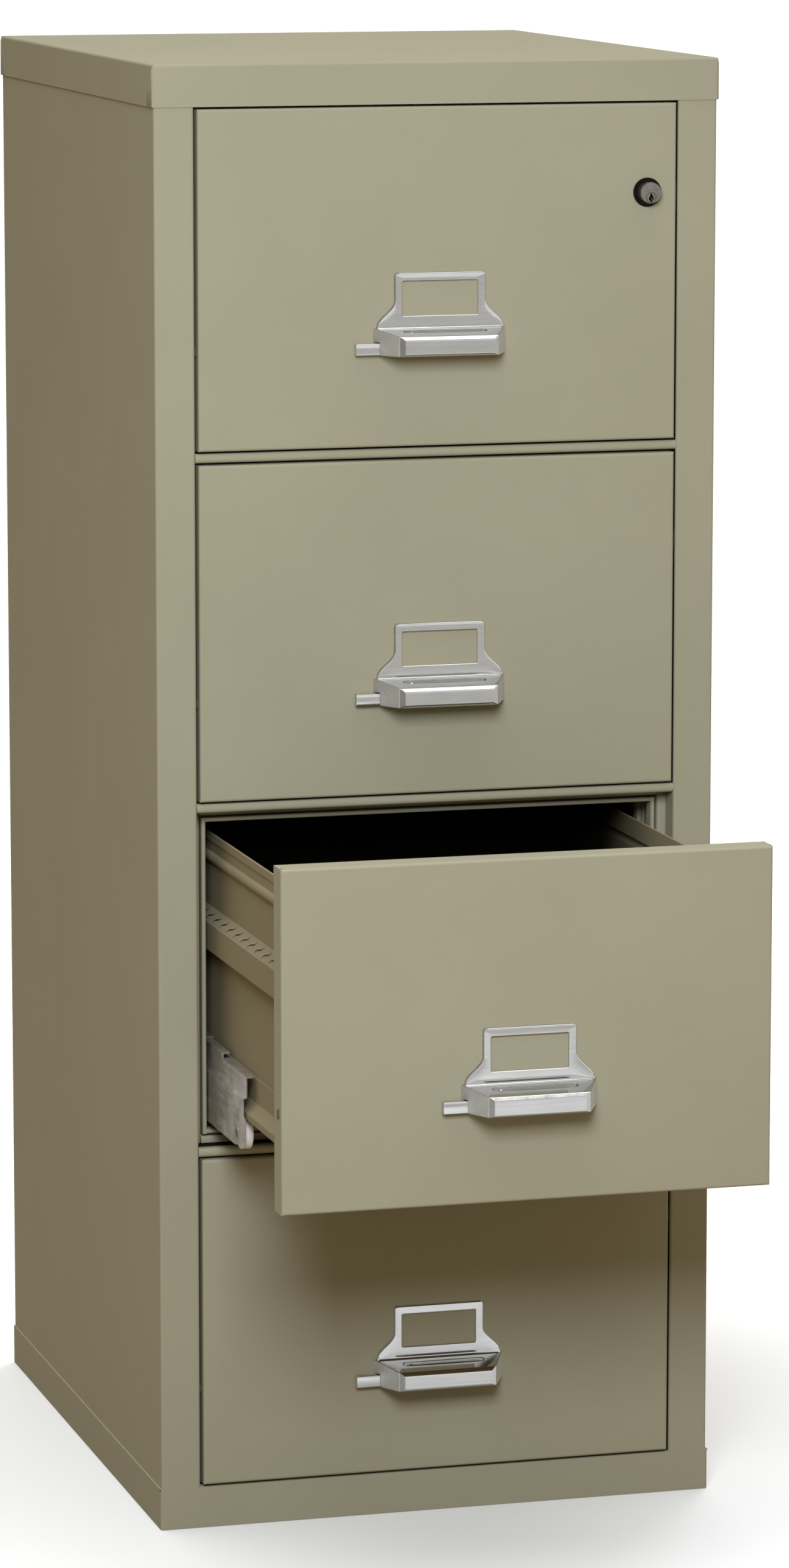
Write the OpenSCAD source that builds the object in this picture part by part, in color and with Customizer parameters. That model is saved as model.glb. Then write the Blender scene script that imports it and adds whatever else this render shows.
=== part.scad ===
/* [Cabinet] */
// Overall width over the top cap and the base
case_w = 528.6; // [460:0.1:600]
// Overall depth over the top cap and the base
case_d = 636.6; // [560:0.1:720]
// Overall height from the floor to the top
case_h = 1339.8; // [1200:0.1:1480]
// Thickness of the outer steel sheet
skin = 1.2; // [0.9:0.1:1.6]
// Radius of the folds in the outer steel sheet
fold_r = 2.4; // [2:0.1:4]
// Height of the top cap's skirt
cap_h = 38.1; // [30:0.1:50]
// Height of the base's skirt
base_h = 38.1; // [30:0.1:50]
// Width of the frame beside an opening, from the cap's side to the opening
stile_w = 37.95; // [35:0.05:44]
// Height of the rounded rail between two drawers
rail_h = 8.4; // [7:0.1:12]
// Depth of the ledge frame inside each opening
frame_d = 12; // [9:0.1:15]
// Width of the ledge at the sides of an opening
ledge_side = 7.9; // [6:0.1:9]
// Height of the ledge at the top and bottom of an opening
ledge_top = 6; // [4:0.1:8]
// Width of the groove between the ledge and the liner's rim
groove = 2; // [1.5:0.1:3]
// Width of the liner's rolled rim
rim = 4; // [3:0.1:5]
// Thickness of the liner's sheet
liner_t = 1; // [0.7:0.1:1.2]
// Insulation between the liners and the back of the case
back_wall = 56; // [40:1:60]
// Room outside the liner's rim for the slides
slide_room = 7; // [6.5:0.1:9]
// Hollow in the jamb behind each stile
jamb_pocket = 5; // [5:0.5:18]

/* [Drawers] */
// How far the third drawer stands open
pulled = 285; // [0:1:480]
// Gap above and below a drawer head
head_gap = 2.1; // [1.5:0.1:3]
// Gap at each side of a drawer head
side_gap = 2.6; // [2:0.1:3.5]
// How far the drawer heads stand proud of the stiles
head_proud = 3; // [1:0.1:5]
// Depth of a drawer head
head_d = 25; // [20:0.1:32]
// Clearance between a closed head and the ledge behind it
seal_gap = 2; // [1:0.1:4]
// Depth of the insulated boss on the back of a head
boss_d = 20; // [10:0.5:26]
// Clear length in the liner behind a closed drawer's body
body_room = 34; // [22:0.5:60]
// Distance from the top of the head down to the drawer's top edge
body_drop = 26.4; // [22:0.1:40]
// How far the drawer's back panel stops below its top edge
back_drop = 36; // [10:0.5:90]
// Gap between the drawer's shoulder and the liner's rim
body_gap = 4.95; // [3.5:0.05:7]
// How far the slotted shoulder stands out from the drawer's side
shoulder_out = 9.5; // [9:0.1:11]
// Rise of the shoulder's slope
shoulder_rise = 11; // [6:0.5:16]
// Height of the upright band under the shoulder
band_h = 27; // [15:0.5:35]
// Distance from the drawer's top edge down to the shoulder's outer edge
shoulder_drop = 79; // [60:0.5:90]
// Distance from the drawer's top edge down to the middle of the side bead
bead_drop = 22; // [16:0.5:30]
// Height of the side bead
bead_h = 10; // [6:0.5:14]
// How far the side bead stands out
bead_out = 4; // [2:0.1:5]
// Height of the folded hem along the drawer's top edge
hem_h = 7; // [4:0.1:9]
// Thickness of the drawer's sheet
body_t = 1; // [0.7:0.1:1.2]
// Spacing of the S-shaped slots along the shoulder
slot_pitch = 25.4; // [18:0.1:40]
// Distance from the head to the first S-shaped slot
slot_first = 30; // [15:1:60]
// Width of an S-shaped slot
slot_w = 1.5; // [0.8:0.1:2]
// Height of the upright slot in the band near the head
band_slot_h = 18; // [8:0.5:22]
// Distance from the head to the upright slots
band_slot_y = 54; // [40:1:80]

/* [Suspension] */
// Radius of the nylon rollers on the cradles
roller_r = 15; // [13:0.1:15.5]
// Width of the nylon rollers on the cradles
roller_w = 9.6; // [7:0.1:9.8]
// Height of the cradle roller's axle above the bottom of the head
roller_z = 30.2; // [29:0.1:36]
// Radius of the rivets that carry the cradle rollers
rivet_r = 4; // [3:0.1:5]
// Running clearance round an axle and under a rail
run_gap = 0.3; // [0.2:0.05:0.5]
// Height of a cradle
cradle_h = 73.7; // [70:0.1:80]
// Distance from the cradle's lower edge up to its roller axle
cradle_drop = 12.9; // [11:0.1:13.5]
// How much shorter a cradle is than the drawer's body
cradle_short = 20; // [15:0.5:60]
// Distance from a closed head's face to the cradle's front end
cradle_front = 38; // [34:0.5:44]
// Distance from the cradle's front end to its roller axle
axle_back = 24.5; // [18:0.5:30]
// Thickness of the cradle's sheet
cradle_t = 1.6; // [1.2:0.1:1.8]
// Clearance between a cradle and the liner's rim
cradle_gap = 1.25; // [0.9:0.05:1.5]
// Offset of the joggle in the cradle's side
joggle = 1.6; // [0.5:0.1:1.8]
// Inward reach of the cradle's flanges
flange_w = 7.5; // [6:0.1:8]
// Thickness of the case channel's sheet
channel_t = 1.5; // [1.2:0.1:1.8]
// Depth of the hat-section uprights that carry the channels
upright_d = 4.5; // [3.5:0.1:5]
// Width of the uprights
upright_w = 24; // [16:0.5:36]
// Distance from the stile face back to the front uprights
upright_front = 79; // [75:0.5:120]
// Distance from the back of the liner to the rear uprights
upright_back = 98; // [60:0.5:140]
// Radius of the rollers on the case channels
case_roller_r = 7; // [5:0.1:7.2]
// Width of the rollers on the case channels
case_roller_w = 6; // [4:0.1:6.5]
// Distance from a closed head's face to the case rollers' axle
case_roller_y = 95; // [92:0.5:110]
// Radius of the pins that carry the case rollers
pin_r = 2.2; // [1.8:0.1:2.2]

/* [Handles] */
// Height of the grip's lower edge above the bottom of the head
handle_z = 83; // [40:1:150]
// Width of the grip where it meets the head
grip_w = 124; // [110:0.5:150]
// Height of the grip where it meets the head
grip_h = 24.5; // [20:0.5:30]
// How far the grip stands out from the head
grip_out = 36; // [28:0.5:44]
// Width of the grip's front face
grip_face_w = 84; // [60:0.5:96]
// Wall of the hollow grip
grip_wall = 2.5; // [2:0.1:3.5]
// Width of the label plate
plate_w = 85.5; // [60:0.5:100]
// Height of the whole handle
handle_h = 74; // [64:0.5:90]
// Thickness of the label plate
plate_t = 3; // [2:0.1:4]
// Width of the label window
window_w = 71.2; // [50:0.1:76]
// Height of the label window
window_h = 31.3; // [20:0.1:34]
// Bar of the plate above the label window
window_top = 7.6; // [4:0.1:10]
// Travel of the thumb latch
latch_travel = 8.5; // [4:0.1:10]
// Length of the thumb tab beside the grip
tab_w = 18; // [12:0.5:24]
// Height of the thumb tab
tab_h = 10.7; // [8:0.1:12]

/* [Lock] */
// Distance of the lock from the right edge of the head
lock_in = 27.95; // [20:0.05:60]
// Distance from the top of the head down to the lock
lock_drop = 80.4; // [40:0.1:90]
// Radius of the lock plunger
plunger_r = 9.5; // [8:0.1:11]
// How far the unlocked plunger stands out
plunger_out = 13; // [11.5:0.1:15]
// How far the plunger is pushed in to lock
plunger_travel = 11; // [8:0.1:11.2]
// Outer radius of the bezel round the plunger
bezel_r = 13.2; // [12.5:0.1:16]
// How far the bezel stands out
bezel_out = 2; // [1:0.1:3]
// Radius of the key plug
plug_r = 4.4; // [3.5:0.1:4.6]
// Width of the lock bar
bar_w = 14; // [8:0.5:16]
// Thickness of the lock bar
bar_t = 3; // [2:0.1:4]

/* [Hidden] */
DRAWERS = [0, 1, 2, 3];
SINGLE = ["outer_wrapper", "top_cap", "base_pan", "side_insulation", "back_insulation", "shelf_insulation",
    "opening_rails", "opening_frames", "drawer_liners", "slide_uprights", "case_channels", "latch_strikes",
    "lock_bezel", "lock_plunger", "lock_plug", "lock_bar"];
REPEATED = ["drawer_head", "head_core", "head_cover", "drawer_sides", "drawer_floor", "handle", "thumb_latch",
    "latch_spring", "slide_cradles", "cradle_rollers", "case_rollers"];

// Colours of the finishes
PAINT = "#A6A187";
GALVANISED = "#9C9691";
CHROME = "#D8D8D6";
NYLON = "#DCD9D5";
NICKEL = "#9B978E";
BRONZE = "#2E2723";
GYPSUM = "#CFC9BB";

// Outer faces of the folded wrapper, which sits just inside the cap and the base
wrap_x = case_w / 2 - skin;
wrap_front = -case_d / 2 + skin;
wrap_back = case_d / 2 - skin;
fill_gap = 0.1 + 0.3 * (fold_r - skin);
fill_x = wrap_x - skin - fill_gap;
fill_back = wrap_back - skin - fill_gap;

// Heights of the openings, from the base's skirt up to the cap's
opening_w = case_w - 2 * stile_w;
open_x = opening_w / 2;
open_low = base_h;
open_high = case_h - cap_h;
open_h = (open_high - open_low - (len(DRAWERS) - 1) * rail_h) / len(DRAWERS);
pitch = open_h + rail_h;
head_h = open_h - 2 * head_gap;
head_x = open_x - side_gap;
face_y = wrap_front - head_proud;
function open_z(i) = open_low + (len(DRAWERS) - 1 - i) * pitch;
function pull(i) = i == 2 ? pulled : 0;

// Stepped seat behind each head: ledge, groove and the liner's rim
step_y = face_y + head_d + seal_gap;
frame_back = step_y + frame_d;
rim_x = open_x - ledge_side - groove - rim;
rim_z = ledge_top + groove + rim;
liner_x = rim_x + slide_room;
liner_z = ledge_top + groove;
liner_h = open_h - 2 * liner_z;
liner_back = fill_back - back_wall;
shelf_x = liner_x + liner_t;
butt_gap = 0.2;
round_steps = 4;

// Drawer body, from the rim inwards
body_len = liner_back - liner_t - body_room - face_y - head_d;
body_top = head_h - body_drop;
shoulder_x = rim_x - body_gap;
wall_x = shoulder_x - shoulder_out;
lip_z = roller_z + roller_r + run_gap;
lip_t = 1.7;
floor_z = lip_z + lip_t;
back_h = body_top - back_drop - floor_z;
shoulder_z = body_top - shoulder_drop;
band_low = shoulder_z - band_h;
bead_z = body_top - bead_drop;
hem_t = 1.2;
slot_count = floor((body_len - 2 * slot_first) / slot_pitch) + 1;
slot_reach = 0.34 * shoulder_out;
slot_run = 0.54 * slot_pitch;
band_slot_w = 2.5;

// Slides, from the liner's wall inwards
channel_x = liner_x - upright_d;
web_x = channel_x - channel_t;
cradle_x = rim_x - cradle_gap;
cradle_len = body_len - cradle_short;
cradle_low = roller_z - cradle_drop;
cradle_top = cradle_low + cradle_h;
cradle_in = cradle_x - cradle_t;
joggle_z = cradle_low + 0.65 * cradle_h;
roller_x = cradle_in - 0.4;
rivet_head = 0.6;
rivet_head_r = rivet_r + 1.5;
nose_back = axle_back + roller_r + 2;
nose_r = 7;
ear_z = roller_z + roller_r + 2.3;
ear_l = 6;
ledge_z = cradle_low + 4.7;
step_back = 88;
step_h = 5;
channel_front = cradle_front + 7;
channel_back = body_len + head_d + 10;
channel_low = cradle_low - 8;
channel_top = cradle_top + 0.5;
case_roller_x = cradle_in - 0.8;
case_roller_z = ledge_z - run_gap - case_roller_r;
track_z = cradle_low - 2;
track_y = case_roller_y + case_roller_r + 4;
shoe_l = 30;
shoe_h = 11;
rail_web_z = cradle_top - 7;
wall_slot_z = rail_web_z + 25;

// Handle and thumb latch, measured out from the head's face
grip_x = grip_w / 2;
face_half = grip_face_w / 2;
bevel = 3;
cheek_x = face_half + 1.5 * bevel;
flare_low = grip_h + 1.5;
flare_high = 48.5 / 74 * handle_h;
window_z = handle_h - window_top - window_h;
tab_z = 0.6;
tab_low = 2;
tab_high = 8;
tab_t = 1.5;
tab_in = 17;
stem_w = 6;
stem_h = 6;
stem_z = tab_z + (tab_h - stem_h) / 2;
stem_x = -grip_x + 10;
latch_bar_front = 8.3;
latch_bar_t = 2.7;
latch_bar_h = 8;
latch_bar_z = tab_z + (tab_h - latch_bar_h) / 2;
latch_gap = 0.4;
latch_nose = head_x + 0.6 * side_gap;
post_x = -grip_x + tab_in + 15;
post_t = 2;
strike_t = 1.5;

// Lock
lock_gap = 0.3;
lock_x = head_x - lock_in;
lock_z = head_h - lock_drop;
lock_hole_r = plunger_r + lock_gap + 0.5;
plug_z = -(plunger_r - plug_r - lock_gap - 0.5);
plunger_in = 10;
lug_h = 16;
lug_d = 8;
bar_y = face_y + 8;

function unit(v) = v / norm(v);
function left_of(v) = [-v[1], v[0]];
function heading(p, i) = unit(p[i + 1] - p[i]);
function moved(p, i, t) =
    i == 0 ? p[0] + t * left_of(heading(p, 0)) :
    i == len(p) - 1 ? p[i] + t * left_of(heading(p, i - 1)) :
    let (a = left_of(heading(p, i - 1)), b = left_of(heading(p, i)))
    p[i] + t * (a + b) / (1 + a * b);
function arc(c, r, a0, a1) =
    [for (k = [0:round_steps]) c + r * [cos(a0 + (a1 - a0) * k / round_steps), sin(a0 + (a1 - a0) * k / round_steps)]];

// A bent sheet: an outline and the same outline moved to its left by the thickness
module sheet(p, t) {
    polygon(concat(p, [for (i = [len(p) - 1:-1:0]) moved(p, i, t)]));
}

// A section in X and Z carried back along Y
module run_back(y0, length) {
    translate([0, y0 + length, 0])
        rotate([90, 0, 0])
            linear_extrude(length)
                children();
}

// A section in Y and Z carried along X, centred on the middle of the cabinet
module run_across(length) {
    translate([-length / 2, 0, 0])
        rotate([90, 0, 90])
            linear_extrude(length)
                children();
}

// A box given by its lowest and highest corners
module block(low, high) {
    translate(low)
        cube(high - low);
}

module both_sides() {
    children();
    mirror([1, 0, 0])
        children();
}

// Frames of one opening: fixed to the case, on its drawer, and on its cradles
module at_opening(i) {
    translate([0, face_y, open_z(i) + head_gap])
        children();
}

module at_drawer(i) {
    translate([0, -pull(i), 0])
        at_opening(i)
            children();
}

module at_cradle(i) {
    translate([0, -pull(i) / 2, 0])
        at_opening(i)
            children();
}

module at_handle(i) {
    at_drawer(i)
        translate([0, 0, handle_z])
            children();
}

module at_lock() {
    at_drawer(0)
        translate([lock_x, 0, lock_z])
            rotate([90, 0, 0])
                children();
}

// Case

// Sheet outline in plan: right return, stile, side, back, side, stile, left return
module outer_wrapper() {
    r = fold_r;
    outline = concat(
        [[open_x, frame_back]],
        arc([open_x + r, wrap_front + r], r, 180, 270),
        arc([wrap_x - r, wrap_front + r], r, 270, 360),
        arc([wrap_x - r, wrap_back - r], r, 0, 90),
        arc([-wrap_x + r, wrap_back - r], r, 90, 180),
        arc([-wrap_x + r, wrap_front + r], r, 180, 270),
        arc([-open_x - r, wrap_front + r], r, 270, 360),
        [[-open_x, frame_back]]);
    color(PAINT)
        difference() {
            translate([0, 0, skin])
                linear_extrude(case_h - 2 * skin)
                    sheet(outline, skin);
            for (i = DRAWERS) {
                latch_slot(i, -open_x - skin - 1, -open_x + 1);
                lug_slot(i);
            }
        }
}

// Room for a latch nose through the left return and its strike
module latch_slot(i, x0, x1) {
    at_opening(i)
        translate([0, 0, handle_z])
            block([x0, latch_bar_front - latch_gap, latch_bar_z - latch_gap],
                [x1, latch_bar_front + latch_bar_t + latch_gap, latch_bar_z + latch_bar_h + latch_gap]);
}

// Room for a lug of the lock bar through the right return, over the bar's travel
module lug_slot(i) {
    at_opening(i)
        block([open_x - 1, bar_y - face_y - latch_gap, lock_z - lug_h / 2 - plunger_travel - latch_gap],
            [open_x + skin + 1, bar_y - face_y + lug_d + latch_gap, lock_z + lug_h / 2 + latch_gap]);
}

// Footprint of the cap and the base, with folded corners
module footprint(inset) {
    r = fold_r;
    x = case_w / 2 - inset;
    y = case_d / 2 - inset;
    polygon(concat(
        arc([x - r, -y + r], r, 270, 360),
        arc([x - r, y - r], r, 0, 90),
        arc([-x + r, y - r], r, 90, 180),
        arc([-x + r, -y + r], r, 180, 270)));
}

// Front view or side view of the cap, whose upper edges are folded over
module cap_profile(half) {
    r = fold_r;
    polygon(concat(
        [[half, -cap_h]],
        arc([half - r, -r], r, 0, 90),
        arc([-half + r, -r], r, 90, 180),
        [[-half, -cap_h]]));
}

module top_cap() {
    color(PAINT)
        translate([0, 0, case_h])
            difference() {
                intersection() {
                    translate([0, 0, -cap_h])
                        linear_extrude(cap_h)
                            footprint(0);
                    run_back(-case_d / 2, case_d)
                        cap_profile(case_w / 2);
                    run_across(case_w)
                        cap_profile(case_d / 2);
                }
                translate([0, 0, -cap_h - 1])
                    linear_extrude(cap_h + 1 - skin)
                        footprint(skin);
            }
}

module base_pan() {
    color(PAINT)
        difference() {
            linear_extrude(base_h)
                footprint(0);
            translate([0, 0, skin])
                linear_extrude(base_h)
                    footprint(skin);
        }
}

// Slabs beside the liners, and a strip in each jamb that leaves room for the bar and the strikes
module side_insulation() {
    color(GYPSUM)
        both_sides() {
            block([shelf_x, frame_back + butt_gap, skin], [fill_x, fill_back, case_h - skin]);
            block([open_x + skin + jamb_pocket, wrap_front + skin + fill_gap, skin],
                [fill_x, frame_back, case_h - skin]);
        }
}

module back_insulation() {
    color(GYPSUM)
        block([-shelf_x, liner_back, skin], [shelf_x, fill_back, case_h - skin]);
}

// Slabs under the top, between the liners and over the base
module shelf_insulation() {
    slab_front = frame_back + liner_t;
    last = len(DRAWERS) - 1;
    color(GYPSUM) {
        block([-shelf_x, slab_front, open_z(0) + open_h - liner_z + liner_t],
            [shelf_x, liner_back, case_h - skin]);
        block([-shelf_x, slab_front, skin], [shelf_x, liner_back, open_z(last) + liner_z - liner_t]);
        for (i = [1:last])
            block([-shelf_x, slab_front, open_z(i) + open_h - liner_z + liner_t],
                [shelf_x, liner_back, open_z(i - 1) + liner_z - liner_t]);
    }
}

// Rails between the openings, with a rounded front
module opening_rails() {
    r = rail_h / 2 - 0.6;
    color(PAINT)
        for (k = [0:len(DRAWERS)])
            translate([0, 0, open_low - rail_h + k * pitch])
                run_across(opening_w)
                    polygon(concat(
                        [[frame_back, 0]],
                        [[frame_back, rail_h]],
                        arc([wrap_front + r, rail_h - r], r, 90, 180),
                        arc([wrap_front + r, r], r, 180, 270)));
}

// Ledge frame in each opening: two upright bars and two cross bars with rounded front edges
module opening_frames() {
    r = 3;
    color(PAINT)
        for (i = DRAWERS)
            translate([0, 0, open_z(i)]) {
                both_sides()
                    linear_extrude(open_h)
                        polygon(concat(
                            [[open_x, step_y], [open_x, frame_back], [open_x - ledge_side, frame_back]],
                            arc([open_x - ledge_side + r, step_y + r], r, 180, 270)));
                ledge_bar(r);
                translate([0, 0, open_h])
                    mirror([0, 0, 1])
                        ledge_bar(r);
            }
}

module ledge_bar(r) {
    run_across(2 * (open_x - ledge_side - butt_gap))
        polygon(concat(
            [[step_y, 0], [frame_back, 0], [frame_back, ledge_top]],
            arc([step_y + r, ledge_top - r], r, 90, 180)));
}

// One liner: a five-sided box, a front flange and a rolled rim that stands forward to the step
module liner() {
    difference() {
        block([-shelf_x, frame_back, liner_z - liner_t], [shelf_x, liner_back, liner_z + liner_h + liner_t]);
        block([-liner_x, frame_back + liner_t, liner_z], [liner_x, liner_back - liner_t, liner_z + liner_h]);
        block([-rim_x, frame_back - 1, rim_z], [rim_x, frame_back + 2 * liner_t, open_h - rim_z]);
    }
    both_sides()
        translate([rim_x, 0, liner_z])
            linear_extrude(liner_h)
                rim_section();
    rim_bar();
    translate([0, 0, open_h])
        mirror([0, 0, 1])
            rim_bar();
}

// Section of the rolled rim: rounded at the front, flat where it meets the flange
module rim_section() {
    r = rim / 2;
    polygon(concat([[rim, frame_back + liner_t / 2], [0, frame_back + liner_t / 2]],
        arc([r, step_y + r], r, 180, 360)));
}

module rim_bar() {
    translate([-rim_x - 0.5, 0, rim_z])
        rotate([90, 0, 90])
            linear_extrude(2 * rim_x + 1)
                rotate(90)
                    mirror([0, 1])
                        translate([-rim, 0])
                            rim_section();
}

module drawer_liners() {
    color(PAINT)
        for (i = DRAWERS)
            translate([0, 0, open_z(i)])
                liner();
}

// Hat-section strips on the liner's walls
module slide_uprights() {
    t = 1;
    w = upright_w / 2;
    hat = [[liner_x, -w], [liner_x - t, -w + 0.5], [liner_x - t, -0.55 * w], [liner_x - upright_d, -0.4 * w],
        [liner_x - upright_d, 0.4 * w], [liner_x - t, 0.55 * w], [liner_x - t, w - 0.5], [liner_x, w]];
    color(PAINT)
        for (i = DRAWERS, y = [wrap_front + upright_front, liner_back - upright_back])
            translate([0, y, open_z(i) + liner_z + 1])
                both_sides()
                    linear_extrude(liner_h - 2)
                        polygon(hat);
}

// Channels fixed on the uprights, with a pin for each case roller
module case_channels() {
    length = channel_back - channel_front;
    color(GALVANISED)
        for (i = DRAWERS)
            at_opening(i)
                both_sides() {
                    block([web_x, channel_front, channel_low], [channel_x, channel_back, channel_top]);
                    block([case_roller_x - flange_w, channel_front, channel_top],
                        [channel_x, channel_back, channel_top + channel_t]);
                    block([case_roller_x - 0.7 * flange_w, track_y, track_z - channel_t],
                        [channel_x, channel_back, track_z]);
                    translate([case_roller_x - case_roller_w - 1, case_roller_y, case_roller_z])
                        rotate([0, 90, 0])
                            cylinder(h = web_x + 0.5 - case_roller_x + case_roller_w + 1, r = pin_r, $fn = 48);
                    translate([case_roller_x - case_roller_w - 2, case_roller_y, case_roller_z])
                        rotate([0, 90, 0])
                            cylinder(h = 1.5, r = pin_r + 1.8, $fn = 48);
                }
}

// Plates behind the left return that the latches hook into
module latch_strikes() {
    color(GALVANISED)
        for (i = DRAWERS)
            difference() {
                at_opening(i)
                    translate([0, 0, handle_z])
                        block([-open_x - skin - strike_t, head_proud + fold_r + latch_gap, latch_bar_z - 8],
                            [-open_x - skin, latch_bar_front + latch_bar_t + 5, latch_bar_z + latch_bar_h + 8]);
                latch_slot(i, -open_x - skin - strike_t - 1, -open_x);
            }
}

// Drawer

// Painted pan with rolled front edges
module head_pan() {
    r = fold_r;
    intersection() {
        linear_extrude(head_h)
            polygon(concat(
                [[head_x, head_d], [-head_x, head_d]],
                arc([-head_x + r, r], r, 180, 270),
                arc([head_x - r, r], r, 270, 360)));
        run_across(2 * head_x)
            polygon(concat(
                [[head_d, 0], [head_d, head_h]],
                arc([r, head_h - r], r, 90, 180),
                arc([r, r], r, 180, 270)));
    }
}

module drawer_head(i) {
    color(PAINT)
        difference() {
            at_drawer(i)
                head_pan();
            at_drawer(i)
                block([-head_x + skin, skin, skin], [head_x - skin, head_d + 1, head_h - skin]);
            at_handle(i) {
                stem_room(-1);
                latch_room(-head_x - 1);
            }
            if (i == 0)
                at_lock()
                    translate([0, 0, -skin - 1])
                        cylinder(h = skin + 2, r = lock_hole_r, $fn = 64);
        }
}

// Room for the latch's stem behind the grip, over its travel
module stem_room(y0) {
    block([stem_x - latch_gap, y0, stem_z - latch_gap],
        [stem_x + stem_w + latch_travel + latch_gap, latch_bar_front + latch_bar_t, stem_z + stem_h + latch_gap]);
}

// Room for the latch bar inside the head, from x0 to its right end
module latch_room(x0) {
    block([x0, latch_bar_front - latch_gap, latch_bar_z - latch_gap],
        [stem_x + stem_w + latch_travel + latch_gap,
            latch_bar_front + latch_bar_t + latch_gap, latch_bar_z + latch_bar_h + latch_gap]);
}

// Insulated boss on the back of a head, which fills the front of the drawer's body
module boss(inset) {
    block([-wall_x + body_t + inset, head_d - 2 * skin, floor_z + body_t + inset],
        [wall_x - body_t - inset, head_d + boss_d - inset, body_top - hem_h - inset]);
}

module head_core(i) {
    color(GYPSUM)
        difference() {
            at_drawer(i) {
                block([-head_x + skin, skin, skin], [head_x - skin, head_d - skin, head_h - skin]);
                boss(skin);
            }
            at_handle(i) {
                stem_room(0);
                latch_room(-head_x);
            }
            if (i == 0)
                at_lock()
                    translate([0, 0, -head_d + skin])
                        cylinder(h = head_d, r = lock_hole_r + 1, $fn = 64);
        }
}

// Inner cover, pressed out round the boss
module head_cover(i) {
    color(PAINT)
        at_drawer(i)
            difference() {
                union() {
                    block([-head_x + skin, head_d - skin, skin], [head_x - skin, head_d, head_h - skin]);
                    boss(0);
                }
                boss(skin);
                block([-head_x, 0, 0], [head_x, head_d - skin, head_h]);
            }
}

// Section of the right-hand side: lip rail, wall, band, slotted shoulder, bead and hem
module side_section() {
    bead = [for (k = [-round_steps:round_steps])
        [wall_x + bead_out * cos(90 * k / round_steps), bead_z + bead_h / 2 * sin(90 * k / round_steps)]];
    outline = concat(
        [[wall_x, lip_z], [wall_x, band_low], [shoulder_x, band_low + 2], [shoulder_x, shoulder_z]],
        [[wall_x, shoulder_z + shoulder_rise]],
        bead,
        [[wall_x, body_top]]);
    lip = [[wall_x + lip_t - 0.2, rail_web_z], [wall_x + lip_t - 0.2, lip_z + 16], [shoulder_x - 0.2, lip_z + 6],
        [shoulder_x - 0.2, lip_z]];
    sheet(outline, body_t);
    mirrored_sheet(lip, lip_t);
    translate([wall_x - body_t, body_top - hem_h])
        square([body_t + hem_t, hem_h]);
}

// A strip of even width with its middle on an outline
module ribbon(p, w) {
    last = len(p) - 1;
    polygon(concat([for (k = [0:last]) moved(p, k, -w / 2)], [for (k = [last:-1:0]) moved(p, k, w / 2)]));
}

// A bent sheet whose thickness lies to the right of its outline
module mirrored_sheet(p, t) {
    sheet([for (k = [len(p) - 1:-1:0]) p[k]], t);
}

// S-shaped slot: it runs forwards by a sine while it crosses the shoulder slowly, then straight across at its ends
function slot_line() =
    [for (k = [-8:8])
        let (t = k / 8)
        [wall_x + shoulder_out / 2 - slot_reach * (t + pow(t, 3)) / 2, -slot_run / 2 * sin(90 * t)]];

module side_slots() {
    for (n = [0:slot_count - 1])
        translate([0, head_d + slot_first + n * slot_pitch, shoulder_z - 1])
            linear_extrude(shoulder_rise + 2)
                ribbon(slot_line(), slot_w);
    block([shoulder_x - 3, head_d + band_slot_y, band_low + 5],
        [shoulder_x + 1, head_d + band_slot_y + band_slot_w, band_low + 5 + band_slot_h]);
    block([wall_x - 3, head_d + band_slot_y, wall_slot_z],
        [wall_x + 1, head_d + band_slot_y + band_slot_w, wall_slot_z + band_slot_h]);
}

// Sides with the rails that run on the cradle rollers and a hold-down shoe at the rear
module drawer_sides(i) {
    shoe_y = head_d + body_len - shoe_l - 10;
    color(PAINT)
        at_drawer(i)
            both_sides()
                difference() {
                    union() {
                        run_back(head_d, body_len)
                            side_section();
                        block([wall_x - body_t / 2, shoe_y, cradle_top - cradle_t - run_gap - shoe_h],
                            [cradle_in - joggle - 1.5, shoe_y + shoe_l, cradle_top - cradle_t - run_gap]);
                    }
                    side_slots();
                }
}

// Floor, and a back panel lower than the sides
module drawer_floor(i) {
    half = wall_x - body_t;
    color(PAINT)
        at_drawer(i) {
            block([-half, head_d, floor_z], [half, head_d + body_len - body_t - butt_gap, floor_z + body_t]);
            block([-half, head_d + body_len - body_t, floor_z], [half, head_d + body_len, floor_z + back_h]);
        }
}

// Handle

// A convex loft through rectangles: each ring gives distance out, half width, lowest and highest edge
module loft(rings) {
    n = len(rings);
    points = [for (r = rings, c = [[-1, 2], [1, 2], [1, 3], [-1, 3]]) [c[0] * r[1], -r[0], r[c[1]]]];
    sides = [for (k = [0:n - 2], c = [0:3]) [4 * k + c, 4 * k + 4 + c, 4 * k + 4 + (c + 1) % 4, 4 * k + (c + 1) % 4]];
    polyhedron(points, concat([[0, 1, 2, 3]], sides, [[4 * n - 1, 4 * n - 2, 4 * n - 3, 4 * n - 4]]));
}

// Outline of the plate: grip width at the bottom, an S-shaped flare, then the label plate
module plate_outline() {
    r = 3;
    half = plate_w / 2;
    flare = [for (k = [0:10])
        [half + (grip_x - bevel - half) * (1 + cos(18 * k)) / 2, flare_low + (flare_high - flare_low) * k / 10]];
    right = concat([[grip_x, 0.5], [grip_x, grip_h - bevel]], flare, arc([half - r, handle_h - r], r, 0, 90));
    polygon(concat(right, [for (k = [len(right) - 1:-1:0]) [-right[k][0], right[k][1]]]));
}

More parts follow.
